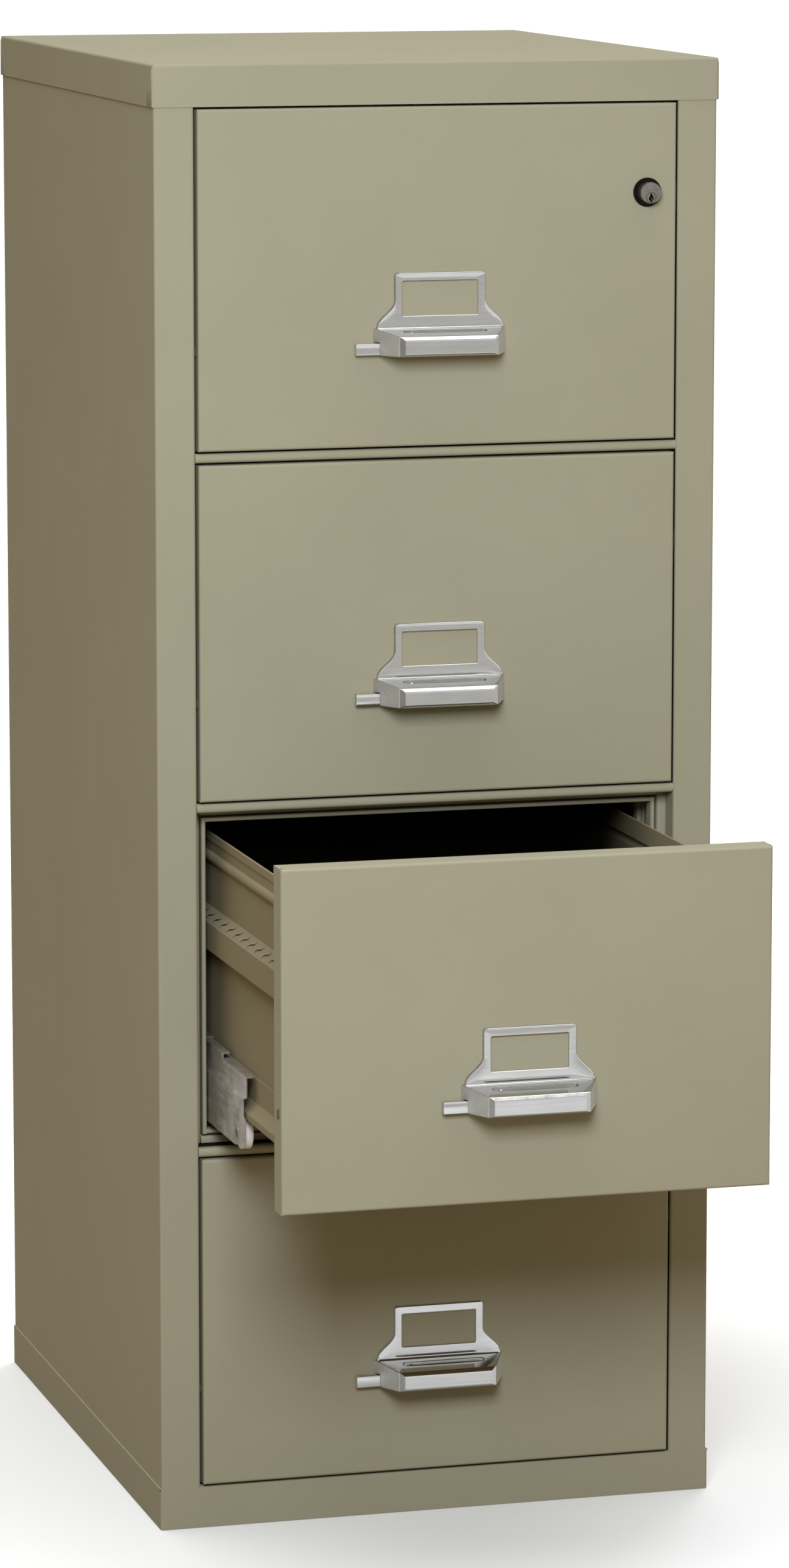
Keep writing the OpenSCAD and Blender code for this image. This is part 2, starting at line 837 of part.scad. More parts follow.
module handle(i) {
    slot_r = 4.5;
    slot_y = 0.43 * grip_out;
    color(CHROME)
        at_handle(i) {
            difference() {
                union() {
                    rotate([90, 0, 0])
                        linear_extrude(plate_t)
                            plate_outline();
                    loft([[0, grip_x, 0, grip_h], [grip_out - bevel, cheek_x, 0.8, grip_h - 5.5],
                        [grip_out, face_half, bevel, grip_h - 9]]);
                }
                loft([[-1, grip_x - grip_wall, -5, grip_h - grip_wall],
                    [grip_out - bevel, cheek_x - grip_wall, -5, grip_h - 6.5 - grip_wall]]);
                block([-window_w / 2, -plate_t - 1, window_z], [window_w / 2, 1, window_z + window_h]);
                finger_slot(slot_r, slot_y);
                block([-grip_x - tab_w, -tab_high - latch_gap, -1],
                    [-grip_x + tab_in + latch_travel + 3, -tab_low + latch_gap, tab_z + tab_h + latch_gap]);
            }
            block([post_x, -tab_high - 4, tab_z + 2], [post_x + post_t, -tab_low, grip_h - grip_wall - 1.5]);
        }
}

// Long rounded recess in the grip's upper ledge
module finger_slot(r, y) {
    reach = face_half - 3;
    floor_h = grip_h - 4.1;
    for (x = [-reach + r, reach - r])
        translate([x, -y, floor_h])
            cylinder(h = 10, r = r, $fn = 48);
    block([-reach + r, -y - r, floor_h], [reach - r, -y + r, floor_h + 10]);
}

// Folded thumb tab, the stem behind it and the bar that runs to the head's left edge
module thumb_latch(i) {
    color(CHROME)
        at_handle(i) {
            difference() {
                block([-grip_x - tab_w, -tab_high, tab_z], [-grip_x + tab_in, -tab_low, tab_z + tab_h]);
                block([-grip_x - tab_w + tab_t, -tab_high + tab_t, tab_z - 1],
                    [stem_x - 1, -tab_low + 1, tab_z + tab_h - tab_t]);
            }
            block([stem_x, -tab_low - 1, stem_z], [stem_x + stem_w, latch_bar_front + 1, stem_z + stem_h]);
            block([-latch_nose, latch_bar_front, latch_bar_z],
                [stem_x + stem_w, latch_bar_front + latch_bar_t, latch_bar_z + latch_bar_h]);
        }
}

// Bent leaf spring between the latch and a post inside the grip
module latch_spring(i) {
    x0 = -grip_x + tab_in + 0.3;
    x1 = post_x - 0.3;
    color(GALVANISED)
        at_handle(i)
            translate([0, 0, stem_z])
                linear_extrude(stem_h)
                    sheet([[x0, -tab_low - 0.5], [x0, -tab_low - 2.5], [(x0 + x1) / 2, -tab_high + 0.5],
                        [x1, -tab_low - 2.5], [x1, -tab_low - 0.5]], 0.5);
}

// Slides

// Section of the right-hand cradle: joggled web, upper flange and, behind the roller, the ledge it runs on
module cradle_section(ledge, top) {
    web = [[cradle_x, cradle_low], [cradle_x, joggle_z], [cradle_x - joggle, joggle_z + 2.5],
        [cradle_x - joggle, top], [cradle_x - joggle - flange_w, top]];
    sheet(web, cradle_t);
    if (ledge)
        translate([cradle_in + 0.5 - flange_w, ledge_z])
            square([flange_w, cradle_t]);
}

// What is cut from the front of the web: a rounded nose below the axle and a step above the roller
module cradle_cuts() {
    low = cradle_low + 1.8;
    polygon(concat(
        [[-1, cradle_low - 1], [nose_back - 7, cradle_low - 1], [nose_back - 8, cradle_low], [axle_back, low]],
        arc([nose_r, low + nose_r], nose_r, 270, 180),
        [[-1, low + nose_r]]));
    polygon([[-1, ear_z], [ear_l - 2, ear_z], [ear_l, ear_z + 2], [ear_l, joggle_z - 2], [0, joggle_z + 1],
        [-1, joggle_z + 1]]);
}

module slide_cradles(i) {
    axle_y = cradle_front + axle_back;
    color(GALVANISED)
        at_cradle(i)
            both_sides() {
                difference() {
                    union() {
                        run_back(cradle_front, nose_back + 1)
                            cradle_section(false, cradle_top - step_h);
                        run_back(cradle_front + nose_back, step_back - nose_back)
                            cradle_section(true, cradle_top - step_h);
                        run_back(cradle_front + step_back - 2, cradle_len - step_back + 2)
                            cradle_section(true, cradle_top);
                    }
                    translate([cradle_x - 3, cradle_front, 0])
                        rotate([90, 0, 90])
                            linear_extrude(4)
                                cradle_cuts();
                }
                translate([roller_x - roller_w - 0.4, axle_y, roller_z])
                    rotate([0, 90, 0])
                        cylinder(h = cradle_x - roller_x + roller_w, r = rivet_r, $fn = 48);
                translate([roller_x - roller_w - 1.6, axle_y, roller_z])
                    rotate([0, 90, 0])
                        cylinder(h = 1.3, r = rivet_head_r, $fn = 48);
                translate([cradle_x - 0.2, axle_y, roller_z])
                    rotate([0, 90, 0])
                        cylinder(h = rivet_head + 0.2, r = rivet_head_r, $fn = 48);
            }
}

// A roller turned about X: bored, with its rim edges broken
module roller(x1, w, r, bore) {
    edge = 0.8;
    translate([x1 - w, 0, 0])
        rotate([0, 90, 0])
            rotate_extrude($fn = 96)
                polygon([[bore, 0], [r - edge, 0], [r, edge], [r, w - edge], [r - edge, w], [bore, w]]);
}

module cradle_rollers(i) {
    color(NYLON)
        at_cradle(i)
            translate([0, cradle_front + axle_back, roller_z])
                both_sides()
                    roller(roller_x, roller_w, roller_r, rivet_r + run_gap / 2);
}

module case_rollers(i) {
    color(NYLON)
        at_opening(i)
            translate([0, case_roller_y, case_roller_z])
                both_sides()
                    roller(case_roller_x, case_roller_w, case_roller_r, pin_r + run_gap / 2);
}

// Lock

module lock_bezel() {
    color(BRONZE)
        at_lock()
            rotate_extrude($fn = 96)
                polygon([[plunger_r + lock_gap, -skin], [lock_hole_r, -skin], [lock_hole_r, 0], [bezel_r, 0],
                    [bezel_r, bezel_out - 0.8], [bezel_r - 0.8, bezel_out], [plunger_r + lock_gap, bezel_out]]);
}

module lock_plunger() {
    r = plunger_r;
    h = plunger_out;
    color(NICKEL)
        at_lock()
            difference() {
                rotate_extrude($fn = 96)
                    polygon([[0, -plunger_in], [r, -plunger_in], [r, h - 1.8], [r - 0.3, h - 1.6],
                        [r - 0.3, h - 1.3], [r, h - 1.1], [r, h - 0.3], [r - 0.3, h], [0, h]]);
                translate([0, plug_z, -plunger_in + 2])
                    cylinder(h = h + plunger_in, r = plug_r + lock_gap, $fn = 64);
            }
}

// Key plug with a keyhole that widens in its middle
module lock_plug() {
    k = plug_r / 4.4;
    right = k * [[0.6, -3.7], [0.6, -2.4], [2.2, -1], [2.2, 0.4], [1.1, 1.6], [1.1, 3.3]];
    left = [for (n = [len(right) - 1:-1:0]) [-right[n][0], right[n][1]]];
    key_d = 7;
    color(NICKEL)
        at_lock()
            translate([0, plug_z, 0])
                difference() {
                    translate([0, 0, -plunger_in + 2 + lock_gap])
                        cylinder(h = plunger_out + plunger_in - 2 - lock_gap, r = plug_r, $fn = 64);
                    translate([0, 0, plunger_out - key_d])
                        linear_extrude(key_d + 1)
                            polygon(concat(right, left));
                }
}

// Upright bar in the right jamb, with a lug beside each drawer
module lock_bar() {
    x0 = open_x + skin + latch_gap;
    last = len(DRAWERS) - 1;
    color(GALVANISED) {
        block([x0, bar_y, open_z(last) + lock_z - 3 * lug_h], [x0 + bar_t, bar_y + bar_w, open_z(0) + lock_z + 2 * lug_h]);
        for (i = DRAWERS)
            at_opening(i)
                block([open_x, bar_y - face_y, lock_z - lug_h / 2],
                    [x0 + bar_t / 2, bar_y - face_y + lug_d, lock_z + lug_h / 2]);
    }
}

outer_wrapper();
top_cap();
base_pan();
side_insulation();
back_insulation();
shelf_insulation();
opening_rails();
opening_frames();
drawer_liners();
slide_uprights();
case_channels();
latch_strikes();
lock_bezel();
lock_plunger();
lock_plug();
lock_bar();
for (i = DRAWERS) {
    drawer_head(i);
    head_core(i);
    head_cover(i);
    drawer_sides(i);
    drawer_floor(i);
    handle(i);
    thumb_latch(i);
    latch_spring(i);
    slide_cradles(i);
    cradle_rollers(i);
    case_rollers(i);
}
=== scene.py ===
"""Looks of an insulated filing cabinet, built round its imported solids."""

import math

import bmesh
import bpy
import numpy as np
from bpy.props import FloatProperty, FloatVectorProperty, PointerProperty
from mathutils import Matrix, Vector


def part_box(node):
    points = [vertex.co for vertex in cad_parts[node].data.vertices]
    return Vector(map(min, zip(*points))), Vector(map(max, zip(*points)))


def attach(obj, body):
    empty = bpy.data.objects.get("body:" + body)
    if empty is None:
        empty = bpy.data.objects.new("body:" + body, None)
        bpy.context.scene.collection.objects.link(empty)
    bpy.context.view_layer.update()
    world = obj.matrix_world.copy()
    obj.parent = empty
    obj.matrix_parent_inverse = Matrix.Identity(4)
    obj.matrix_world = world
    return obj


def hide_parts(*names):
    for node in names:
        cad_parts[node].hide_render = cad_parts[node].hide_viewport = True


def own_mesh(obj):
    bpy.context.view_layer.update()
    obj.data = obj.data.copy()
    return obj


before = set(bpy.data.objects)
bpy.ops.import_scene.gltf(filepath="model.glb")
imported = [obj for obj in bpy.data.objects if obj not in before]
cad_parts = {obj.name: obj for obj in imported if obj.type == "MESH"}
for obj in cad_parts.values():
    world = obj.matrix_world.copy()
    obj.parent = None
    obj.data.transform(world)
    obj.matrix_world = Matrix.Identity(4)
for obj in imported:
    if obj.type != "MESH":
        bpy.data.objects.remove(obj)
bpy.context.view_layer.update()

bl_info = {
    "name": "Insulated filing cabinet",
    "version": (1, 0, 0),
    "blender": (4, 5, 0),
    "location": "View3D > Sidebar > Cabinet",
    "description": "Finishes, grips, lock and studio for an insulated filing cabinet",
    "category": "Object",
}

MM = 0.001
DRAWERS = ("1", "2", "3", "4")


def linear(code):
    """sRGB hex to linear red, green and blue: c / 12.92 below 0.04045, else ((c + 0.055) / 1.055) ** 2.4."""
    c = np.array([int(code[k:k + 2], 16) for k in (0, 2, 4)]) / 255
    return tuple(np.where(c <= 0.04045, c / 12.92, ((c + 0.055) / 1.055) ** 2.4).tolist())


def per_mm(size):
    """Texture scale in 1/m for a pattern whose cells are size millimetres wide."""
    return 1 / (size * MM)


# Sizes and colours that a user would change
COLOUR = {"subtype": "COLOR", "min": 0, "max": 1}
LENGTH = {"subtype": "DISTANCE", "unit": "LENGTH"}
WATTS = {"min": 0, "max": 1000}


class CabinetFinish(bpy.types.PropertyGroup):
    """Colours of the cabinet's finishes."""

    paint: FloatVectorProperty(name="Paint", description="Baked enamel on all the outer steel",
                               default=linear("A4A18D"), **COLOUR)
    # The drawer bodies' colour is the paint made darker and warmer as painted shade, for the shade between
    # heads and case
    body: FloatVectorProperty(name="Drawer bodies",
                              description="Thinner, warmer enamel on the drawers' own sheet",
                              default=linear("948C74"), **COLOUR)
    # Painted shade: the dark colour that the enamel turns to deep in the liners, drawers and gaps
    painted_shade: FloatVectorProperty(name="Primer", description="Thin dark coat inside the liners",
                                default=linear("1B1914"), **COLOUR)
    zinc: FloatVectorProperty(name="Zinc", description="Galvanised slides and strikes",
                              default=linear("B9B3AD"), **COLOUR)
    chrome: FloatVectorProperty(name="Chrome", description="Plated grips and thumb tabs",
                                default=linear("D6D6D5"), **COLOUR)
    # Darker plate: partly real thin plate in the grips' recesses, partly painted shade there and painted
    # reflection on the left
    thin_plate_and_shade: FloatVectorProperty(name="Dull plate",
                              description="Thin plate in the grips' recesses and inner corners",
                              default=linear("9A9893"), **COLOUR)
    nickel: FloatVectorProperty(name="Nickel", description="Lock plunger and key plug",
                                default=linear("8A877F"), **COLOUR)
    bronze: FloatVectorProperty(name="Bronze", description="Dark ring round the lock",
                                default=linear("3A322C"), **COLOUR)
    nylon: FloatVectorProperty(name="Nylon", description="Moulded rollers",
                               default=linear("F5F3EF"), **COLOUR)
    fill: FloatVectorProperty(name="Fill", description="Poured insulation inside the walls",
                              default=linear("CFC9BB"), **COLOUR)
    peel: FloatProperty(name="Orange peel", description="Width of the enamel's ripples",
                        default=4 * MM, min=1 * MM, max=20 * MM, **LENGTH)


class CabinetGrips(bpy.types.PropertyGroup):
    """Sizes of the cast grips and their thumb tabs."""

    edge: FloatProperty(name="Plate edge", description="Rounding of the label plate's rim",
                        default=1.6 * MM, min=0.4 * MM, max=2 * MM, **LENGTH)
    ease: FloatProperty(name="Grip edge", description="Rounding of the grip's edges",
                        default=0.8 * MM, min=0.2 * MM, max=1.2 * MM, **LENGTH)
    fillet: FloatProperty(name="Fillet", description="Hollow curve between the plate and the grip",
                          default=2.6 * MM, min=1 * MM, max=4 * MM, **LENGTH)
    recess: FloatProperty(name="Recess", description="Depth of the long recess in the grip's top",
                          default=2.6 * MM, min=0.5 * MM, max=2.8 * MM, **LENGTH)
    tab_edge: FloatProperty(name="Tab edge", description="Rounding of the thumb tab's corners",
                            default=0.7 * MM, min=0.2 * MM, max=0.74 * MM, **LENGTH)


class CabinetSeams(bpy.types.PropertyGroup):
    """Sizes of the folds, seams and lanced slots."""

    lip: FloatProperty(name="Slot lip", description="Height of the raised lip along a lanced slot",
                       default=0.5 * MM, min=0.2 * MM, max=1 * MM, **LENGTH)
    tab: FloatProperty(name="Corner tab", description="Thickness of the tab folded round a cap corner",
                       default=0.35 * MM, min=0.1 * MM, max=0.8 * MM, **LENGTH)
    ease: FloatProperty(name="Sheet edge", description="Rounding of the galvanised sheet's edges",
                        default=0.4 * MM, min=0.1 * MM, max=0.6 * MM, **LENGTH)


class CabinetStage(bpy.types.PropertyGroup):
    """Light, floor and camera."""

    sun: FloatProperty(name="Top light", description="Strength of the broad light from above",
                       default=2.2, min=0, max=10)
    spread: FloatProperty(name="Top spread", description="Angle that the top light fills",
                          default=math.radians(80), min=0, max=math.pi, subtype="ANGLE")
    lamp: FloatProperty(name="Key light", description="Watts of the large lamp in front", default=68, **WATTS)
    rear: FloatProperty(name="Rear light", description="Watts of the large lamp behind, at the right",
                        default=30, **WATTS)
    tint: FloatVectorProperty(name="Lamp tint", description="Daylight colour of the two large lamps",
                              default=linear("F4F9FF"), **COLOUR)
    fill: FloatVectorProperty(name="Fill light", description="Light from all round",
                              default=linear("93866F"), **COLOUR)
    floor: FloatVectorProperty(name="Floor", description="Pale floor", default=linear("F3F6FA"), **COLOUR)
    bounce: FloatVectorProperty(name="Floor bounce",
                                description="Colour that the floor throws back on the object",
                                default=linear("8D7F66"), **COLOUR)
    lens: FloatProperty(name="Lens", description="Focal length for a 36 mm tall sensor",
                        default=141.6, min=20, max=400)
    eye: FloatVectorProperty(name="Camera place", description="Where the camera stands",
                             default=(-1.5447, -5.6557, 1.5922), subtype="XYZ", unit="LENGTH")
    aim: FloatVectorProperty(name="Camera turn", description="Turn to the right, tilt up and roll",
                             default=(math.radians(15.729), math.radians(-9.288), math.radians(0.005)),
                             subtype="EULER")


# Materials. A Mix node of colours takes them in sockets MIX_A and MIX_B, and gives its result in MIXED
RGBA = {"data_type": "RGBA"}
MIX_A, MIX_B, MIXED = 6, 7, 2
ADD_SCALED = {"operation": "MULTIPLY_ADD"}
TIMES = {"operation": "MULTIPLY"}
COMPARE = {"operation": "COMPARE"}
SMOOTH = {"interpolation_type": "SMOOTHSTEP"}
# Dark and light tones of painted shade at seams, slits and cuts, of bare strip that the enamel hardly
# reaches, and the colour of the rivets
SEAM_SHADE_TONES = ("17140F", "3A3528")
STRIP_TONES = ("4A4638", "665F4C")
RIVET = "6B6763"


def feed(tree, node, sockets):
    """Gives each of a node's sockets a value or a link."""
    for key, value in sockets.items():
        if isinstance(value, bpy.types.NodeSocket):
            tree.links.new(value, node.inputs[key])
        else:
            node.inputs[key].default_value = value


def add(tree, kind, settings, sockets):
    """Adds a node of a kind, applies its settings, and gives each socket a value or a link."""
    made = tree.nodes.new(kind)
    for key, value in settings.items():
        setattr(made, key, value)
    feed(tree, made, sockets)
    return made


def blank(name):
    """An empty material's node tree with its shader, output and Object coordinates."""
    material = bpy.data.materials.new(name)
    material.use_nodes = True
    tree = material.node_tree
    tree.nodes.clear()
    shader = add(tree, "ShaderNodeBsdfPrincipled", {}, {})
    add(tree, "ShaderNodeOutputMaterial", {}, {"Surface": shader.outputs[0]})
    place = add(tree, "ShaderNodeTexCoord", {}, {}).outputs["Object"]
    return material, tree, shader, place


def rgba(colour, gain=1.0):
    """A colour with its brightness multiplied, and alpha 1."""
    return (*[min(1.0, c * gain) for c in colour], 1.0)


def shade_share(tree, place, inner, limits, inwards):
    """Share of painted shade in a coat: 0 before inner's first place in Y, 1 past its second, 0 off the
    limits.
    """
    axes = add(tree, "ShaderNodeSeparateXYZ", {}, {0: place}).outputs
    fade = add(tree, "ShaderNodeMapRange", SMOOTH,
               {"Value": axes["Y"], "From Min": inner[0], "From Max": inner[1]}).outputs[0]
    for axis, middle, reach, kept in limits:
        near = add(tree, "ShaderNodeMath", COMPARE, {0: axes[axis], 1: middle, 2: reach}).outputs[0]
        side = add(tree, "ShaderNodeMath", COMPARE, {0: near, 1: kept, 2: 0.5}).outputs[0]
        fade = add(tree, "ShaderNodeMath", TIMES, {0: fade, 1: side}).outputs[0]
    if inwards:
        normal = add(tree, "ShaderNodeTexCoord", {}, {}).outputs["Normal"]
        turned = add(tree, "ShaderNodeSeparateXYZ", {}, {0: normal}).outputs["X"]
        faced = add(tree, "ShaderNodeMath", TIMES, {0: axes["X"], 1: turned}).outputs[0]
        inside = add(tree, "ShaderNodeMath", {"operation": "LESS_THAN"}, {0: faced, 1: 0.0}).outputs[0]
        fade = add(tree, "ShaderNodeMath", TIMES, {0: fade, 1: inside}).outputs[0]
    return fade


def baked_enamel(finish, name, inner=None, limits=(), inwards=False, paint=None):
    """Baked enamel on rolled sheet: a satin coat with a fine orange peel and faint clouds in its tone.

    With inner, two places along Y in metres, the coat darkens to painted shade between them, for the shade
    inside a case. Each limit is an axis, a place on it, a reach, and 1 to darken only within that reach or 0
    to darken only outside it. With inwards, only the faces that look towards the middle in X darken. Paint is
    another colour of coat.
    """
    paint = finish.paint if paint is None else paint
    material, tree, shader, place = blank(name)
    cloud = add(tree, "ShaderNodeTexNoise", {},
                {"Vector": place, "Scale": per_mm(140), "Detail": 3.0, "Roughness": 0.55}).outputs["Fac"]
    speck = add(tree, "ShaderNodeTexNoise", {},
                {"Vector": place, "Scale": per_mm(2.6), "Detail": 2.0, "Roughness": 0.6}).outputs["Fac"]
    tone = add(tree, "ShaderNodeMath", ADD_SCALED, {0: speck, 1: 0.35, 2: cloud}).outputs[0]
    ramp = add(tree, "ShaderNodeMapRange", {}, {"Value": tone, "From Min": 0.42, "From Max": 0.92}).outputs[0]
    colour = add(tree, "ShaderNodeMix", RGBA,
                 {"Factor": ramp, MIX_A: rgba(paint, 0.965), MIX_B: rgba(paint, 1.03)}).outputs[MIXED]
    if inner is not None:
        fade = shade_share(tree, place, inner, limits, inwards)
        colour = add(tree, "ShaderNodeMix", RGBA,
                     {"Factor": fade, MIX_A: colour, MIX_B: rgba(finish.painted_shade)}).outputs[MIXED]
    # The real peel is 1 to 2 mm wide; it is drawn coarser so that it shows
    peel = add(tree, "ShaderNodeTexNoise", {}, {"Vector": place, "Scale": 1 / finish.peel, "Detail": 1.5})
    sheen = add(tree, "ShaderNodeMapRange", {},
                {"Value": cloud, "From Min": 0.3, "From Max": 0.7, "To Min": 0.54, "To Max": 0.62})
    relief = add(tree, "ShaderNodeBump", {},
                 {"Strength": 0.06, "Distance": 0.3 * MM, "Height": peel.outputs["Fac"]})
    feed(tree, shader, {"Base Color": colour, "Roughness": sheen.outputs[0], "Normal": relief.outputs[0],
                        "IOR": 1.48, "Specular IOR Level": 0.005})
    return material


def galvanised_sheet(finish):
    """Hot-dipped zinc on sheet steel: faint crystal spangle, long handling scuffs and a few bright flecks."""
    material, tree, shader, place = blank("galvanised_sheet")
    spangle = add(tree, "ShaderNodeTexVoronoi", {}, {"Vector": place, "Scale": per_mm(11), "Randomness": 1.0})
    grey = add(tree, "ShaderNodeRGBToBW", {}, {0: spangle.outputs["Color"]}).outputs[0]
    drawn = add(tree, "ShaderNodeMapping", {}, {"Vector": place, "Scale": (1.0, 0.07, 1.0)}).outputs[0]
    scuff = add(tree, "ShaderNodeTexNoise", {},
                {"Vector": drawn, "Scale": per_mm(3.2), "Detail": 4.0, "Roughness": 0.62}).outputs["Fac"]
    haze = add(tree, "ShaderNodeTexNoise", {},
               {"Vector": place, "Scale": per_mm(24), "Detail": 3.0}).outputs["Fac"]
    fleck = add(tree, "ShaderNodeTexNoise", {},
                {"Vector": place, "Scale": per_mm(2.2), "Detail": 1.0}).outputs["Fac"]
    spot = add(tree, "ShaderNodeMapRange", {},
               {"Value": fleck, "From Min": 0.70, "From Max": 0.76}).outputs[0]
    tone = add(tree, "ShaderNodeMath", ADD_SCALED, {0: grey, 1: 0.35, 2: haze}).outputs[0]
    tone = add(tree, "ShaderNodeMath", ADD_SCALED, {0: scuff, 1: 0.5, 2: tone}).outputs[0]
    span = add(tree, "ShaderNodeMapRange", {}, {"Value": tone, "From Min": 0.55, "From Max": 1.25}).outputs[0]
    dark, light = rgba(finish.zinc, 0.62), rgba(finish.zinc, 1.12)
    colour = add(tree, "ShaderNodeMix", RGBA, {"Factor": span, MIX_A: dark, MIX_B: light}).outputs[MIXED]
    colour = add(tree, "ShaderNodeMix", RGBA,
                 {"Factor": spot, MIX_A: colour, MIX_B: rgba(finish.zinc, 1.75)}).outputs[MIXED]
    gloss = add(tree, "ShaderNodeMapRange", {},
                {"Value": scuff, "From Min": 0.3, "From Max": 0.7, "To Min": 0.36, "To Max": 0.56})
    relief = add(tree, "ShaderNodeBump", {}, {"Strength": 0.08, "Distance": 0.2 * MM, "Height": scuff})
    feed(tree, shader, {"Base Color": colour, "Roughness": gloss.outputs[0], "Normal": relief.outputs[0],
                        "Metallic": 0.72})
    return material


def chrome_plate(name, shade, low, high):
    """Chrome plate over a polished zinc casting: mirror bright, with soft polishing streaks along the grip.

    A thin-plate copy has a darker shade and a rougher gloss: partly real, as inner corners draw less current
    in the bath, and partly painted shade and painted reflection.
    Low and high are the ends of its roughness.
    """
    material, tree, shader, place = blank(name)
    along = add(tree, "ShaderNodeMapping", {}, {"Vector": place, "Scale": (0.06, 1.0, 1.0)}).outputs[0]
    streak = add(tree, "ShaderNodeTexNoise", {},
                 {"Vector": along, "Scale": per_mm(2.4), "Detail": 4.0, "Roughness": 0.6}).outputs["Fac"]
    cloud = add(tree, "ShaderNodeTexNoise", {},
                {"Vector": place, "Scale": per_mm(9), "Detail": 2.0}).outputs["Fac"]
    tone = add(tree, "ShaderNodeMapRange", {},
               {"Value": streak, "From Min": 0.3, "From Max": 0.72}).outputs[0]
    colour = add(tree, "ShaderNodeMix", RGBA,
                 {"Factor": tone, MIX_A: rgba(shade, 0.86), MIX_B: rgba(shade, 1.0)}).outputs[MIXED]
    gloss = add(tree, "ShaderNodeMapRange", {},
                {"Value": cloud, "From Min": 0.3, "From Max": 0.7, "To Min": low, "To Max": high})
    relief = add(tree, "ShaderNodeBump", {}, {"Strength": 0.10, "Distance": 0.15 * MM, "Height": cloud})
    feed(tree, shader, {"Base Color": colour, "Roughness": gloss.outputs[0], "Normal": relief.outputs[0],
                        "Metallic": 1.0})
    return material


def turned_metal(name, shade, middle, low, high):
    """A turned metal face: rings round an axis along Y through middle, drawn 0.5 mm wide so as to show.

    Low and high are the ends of its roughness.
    """
    material, tree, shader, place = blank(name)
    centred = add(tree, "ShaderNodeMapping", {}, {"Vector": place, "Location": tuple(-middle)}).outputs[0]
    ring = add(tree, "ShaderNodeTexWave", {"wave_type": "RINGS", "rings_direction": "Y"},
               {"Vector": centred, "Scale": per_mm(0.5) / 20, "Distortion": 2.0, "Detail": 3.0,
                "Detail Scale": 2.0}).outputs["Fac"]
    stain = add(tree, "ShaderNodeTexNoise", {},
                {"Vector": place, "Scale": per_mm(5), "Detail": 3.0}).outputs["Fac"]
    tone = add(tree, "ShaderNodeMath", ADD_SCALED, {0: ring, 1: 0.4, 2: stain}).outputs[0]
    span = add(tree, "ShaderNodeMapRange", {}, {"Value": tone, "From Min": 0.4, "From Max": 1.0}).outputs[0]
    colour = add(tree, "ShaderNodeMix", RGBA,
                 {"Factor": span, MIX_A: rgba(shade, 0.8), MIX_B: rgba(shade, 1.1)}).outputs[MIXED]
    gloss = add(tree, "ShaderNodeMapRange", {}, {"Value": ring, "To Min": low, "To Max": high})
    relief = add(tree, "ShaderNodeBump", {}, {"Strength": 0.08, "Distance": 0.1 * MM, "Height": ring})
    feed(tree, shader, {"Base Color": colour, "Roughness": gloss.outputs[0], "Normal": relief.outputs[0],
                        "Metallic": 0.9})
    return material


def moulded_nylon(finish):
    """Injection-moulded nylon: waxy white, a little see-through, with slight flow clouds."""
    material, tree, shader, place = blank("moulded_nylon")
    flow = add(tree, "ShaderNodeTexNoise", {},
               {"Vector": place, "Scale": per_mm(7), "Detail": 3.0, "Distortion": 0.6}).outputs["Fac"]
    dark, light = rgba(finish.nylon, 0.9), rgba(finish.nylon, 1.04)
    colour = add(tree, "ShaderNodeMix", RGBA, {"Factor": flow, MIX_A: dark, MIX_B: light}).outputs[MIXED]
    gloss = add(tree, "ShaderNodeMapRange", {}, {"Value": flow, "To Min": 0.36, "To Max": 0.5})
    relief = add(tree, "ShaderNodeBump", {}, {"Strength": 0.05, "Distance": 0.2 * MM, "Height": flow})
    feed(tree, shader, {"Base Color": colour, "Roughness": gloss.outputs[0], "Normal": relief.outputs[0],
                        "IOR": 1.53, "Subsurface Weight": 0.12,
                        "Subsurface Radius": (1.2 * MM, 1.1 * MM, 1.0 * MM)})
    return material


def poured_fill(finish):
    """Poured mineral insulation: chalky and pitted, with 6 mm grains of expanded mica."""
    material, tree, shader, place = blank("poured_fill")
    grain = add(tree, "ShaderNodeTexVoronoi", {}, {"Vector": place, "Scale": per_mm(6)}).outputs["Distance"]
    cloud = add(tree, "ShaderNodeTexNoise", {},
                {"Vector": place, "Scale": per_mm(30), "Detail": 4.0}).outputs["Fac"]
    tone = add(tree, "ShaderNodeMath", ADD_SCALED, {0: grain, 1: 0.6, 2: cloud}).outputs[0]
    dark, light = rgba(finish.fill, 0.8), rgba(finish.fill, 1.05)
    colour = add(tree, "ShaderNodeMix", RGBA, {"Factor": tone, MIX_A: dark, MIX_B: light}).outputs[MIXED]
    relief = add(tree, "ShaderNodeBump", {}, {"Strength": 0.4, "Distance": 1 * MM, "Height": grain})
    feed(tree, shader, {"Base Color": colour, "Roughness": 0.95, "Normal": relief.outputs[0]})
    return material


def phosphate_and_painted_shade(name, low, high):
    """Dull dark sheet with the coat in traces of 1.5 mm: bare phosphated strip, and painted shade in seams
    and holes.
    """
    material, tree, shader, place = blank(name)
    trace = add(tree, "ShaderNodeTexNoise", {},
                {"Vector": place, "Scale": per_mm(1.5), "Detail": 2.0}).outputs["Fac"]
    colour = add(tree, "ShaderNodeMix", RGBA,
                 {"Factor": trace, MIX_A: rgba(linear(low)), MIX_B: rgba(linear(high))}).outputs[MIXED]
    feed(tree, shader, {"Base Color": colour, "Roughness": 0.8})
    return material


# Surfaces
# Points closer than MERGE become one, and faces thinner than SLIVER go
MERGE, SLIVER = 0.004 * MM, 0.002 * MM
# In a copy of a solid, corners closer than SOLID_MERGE join, and so do faces that turn by under FLAT degrees
SOLID_MERGE, FLAT = 0.01 * MM, 0.4
# Edges that turn by more than this many degrees stay sharp, unless a piece says otherwise
CREASE = 35


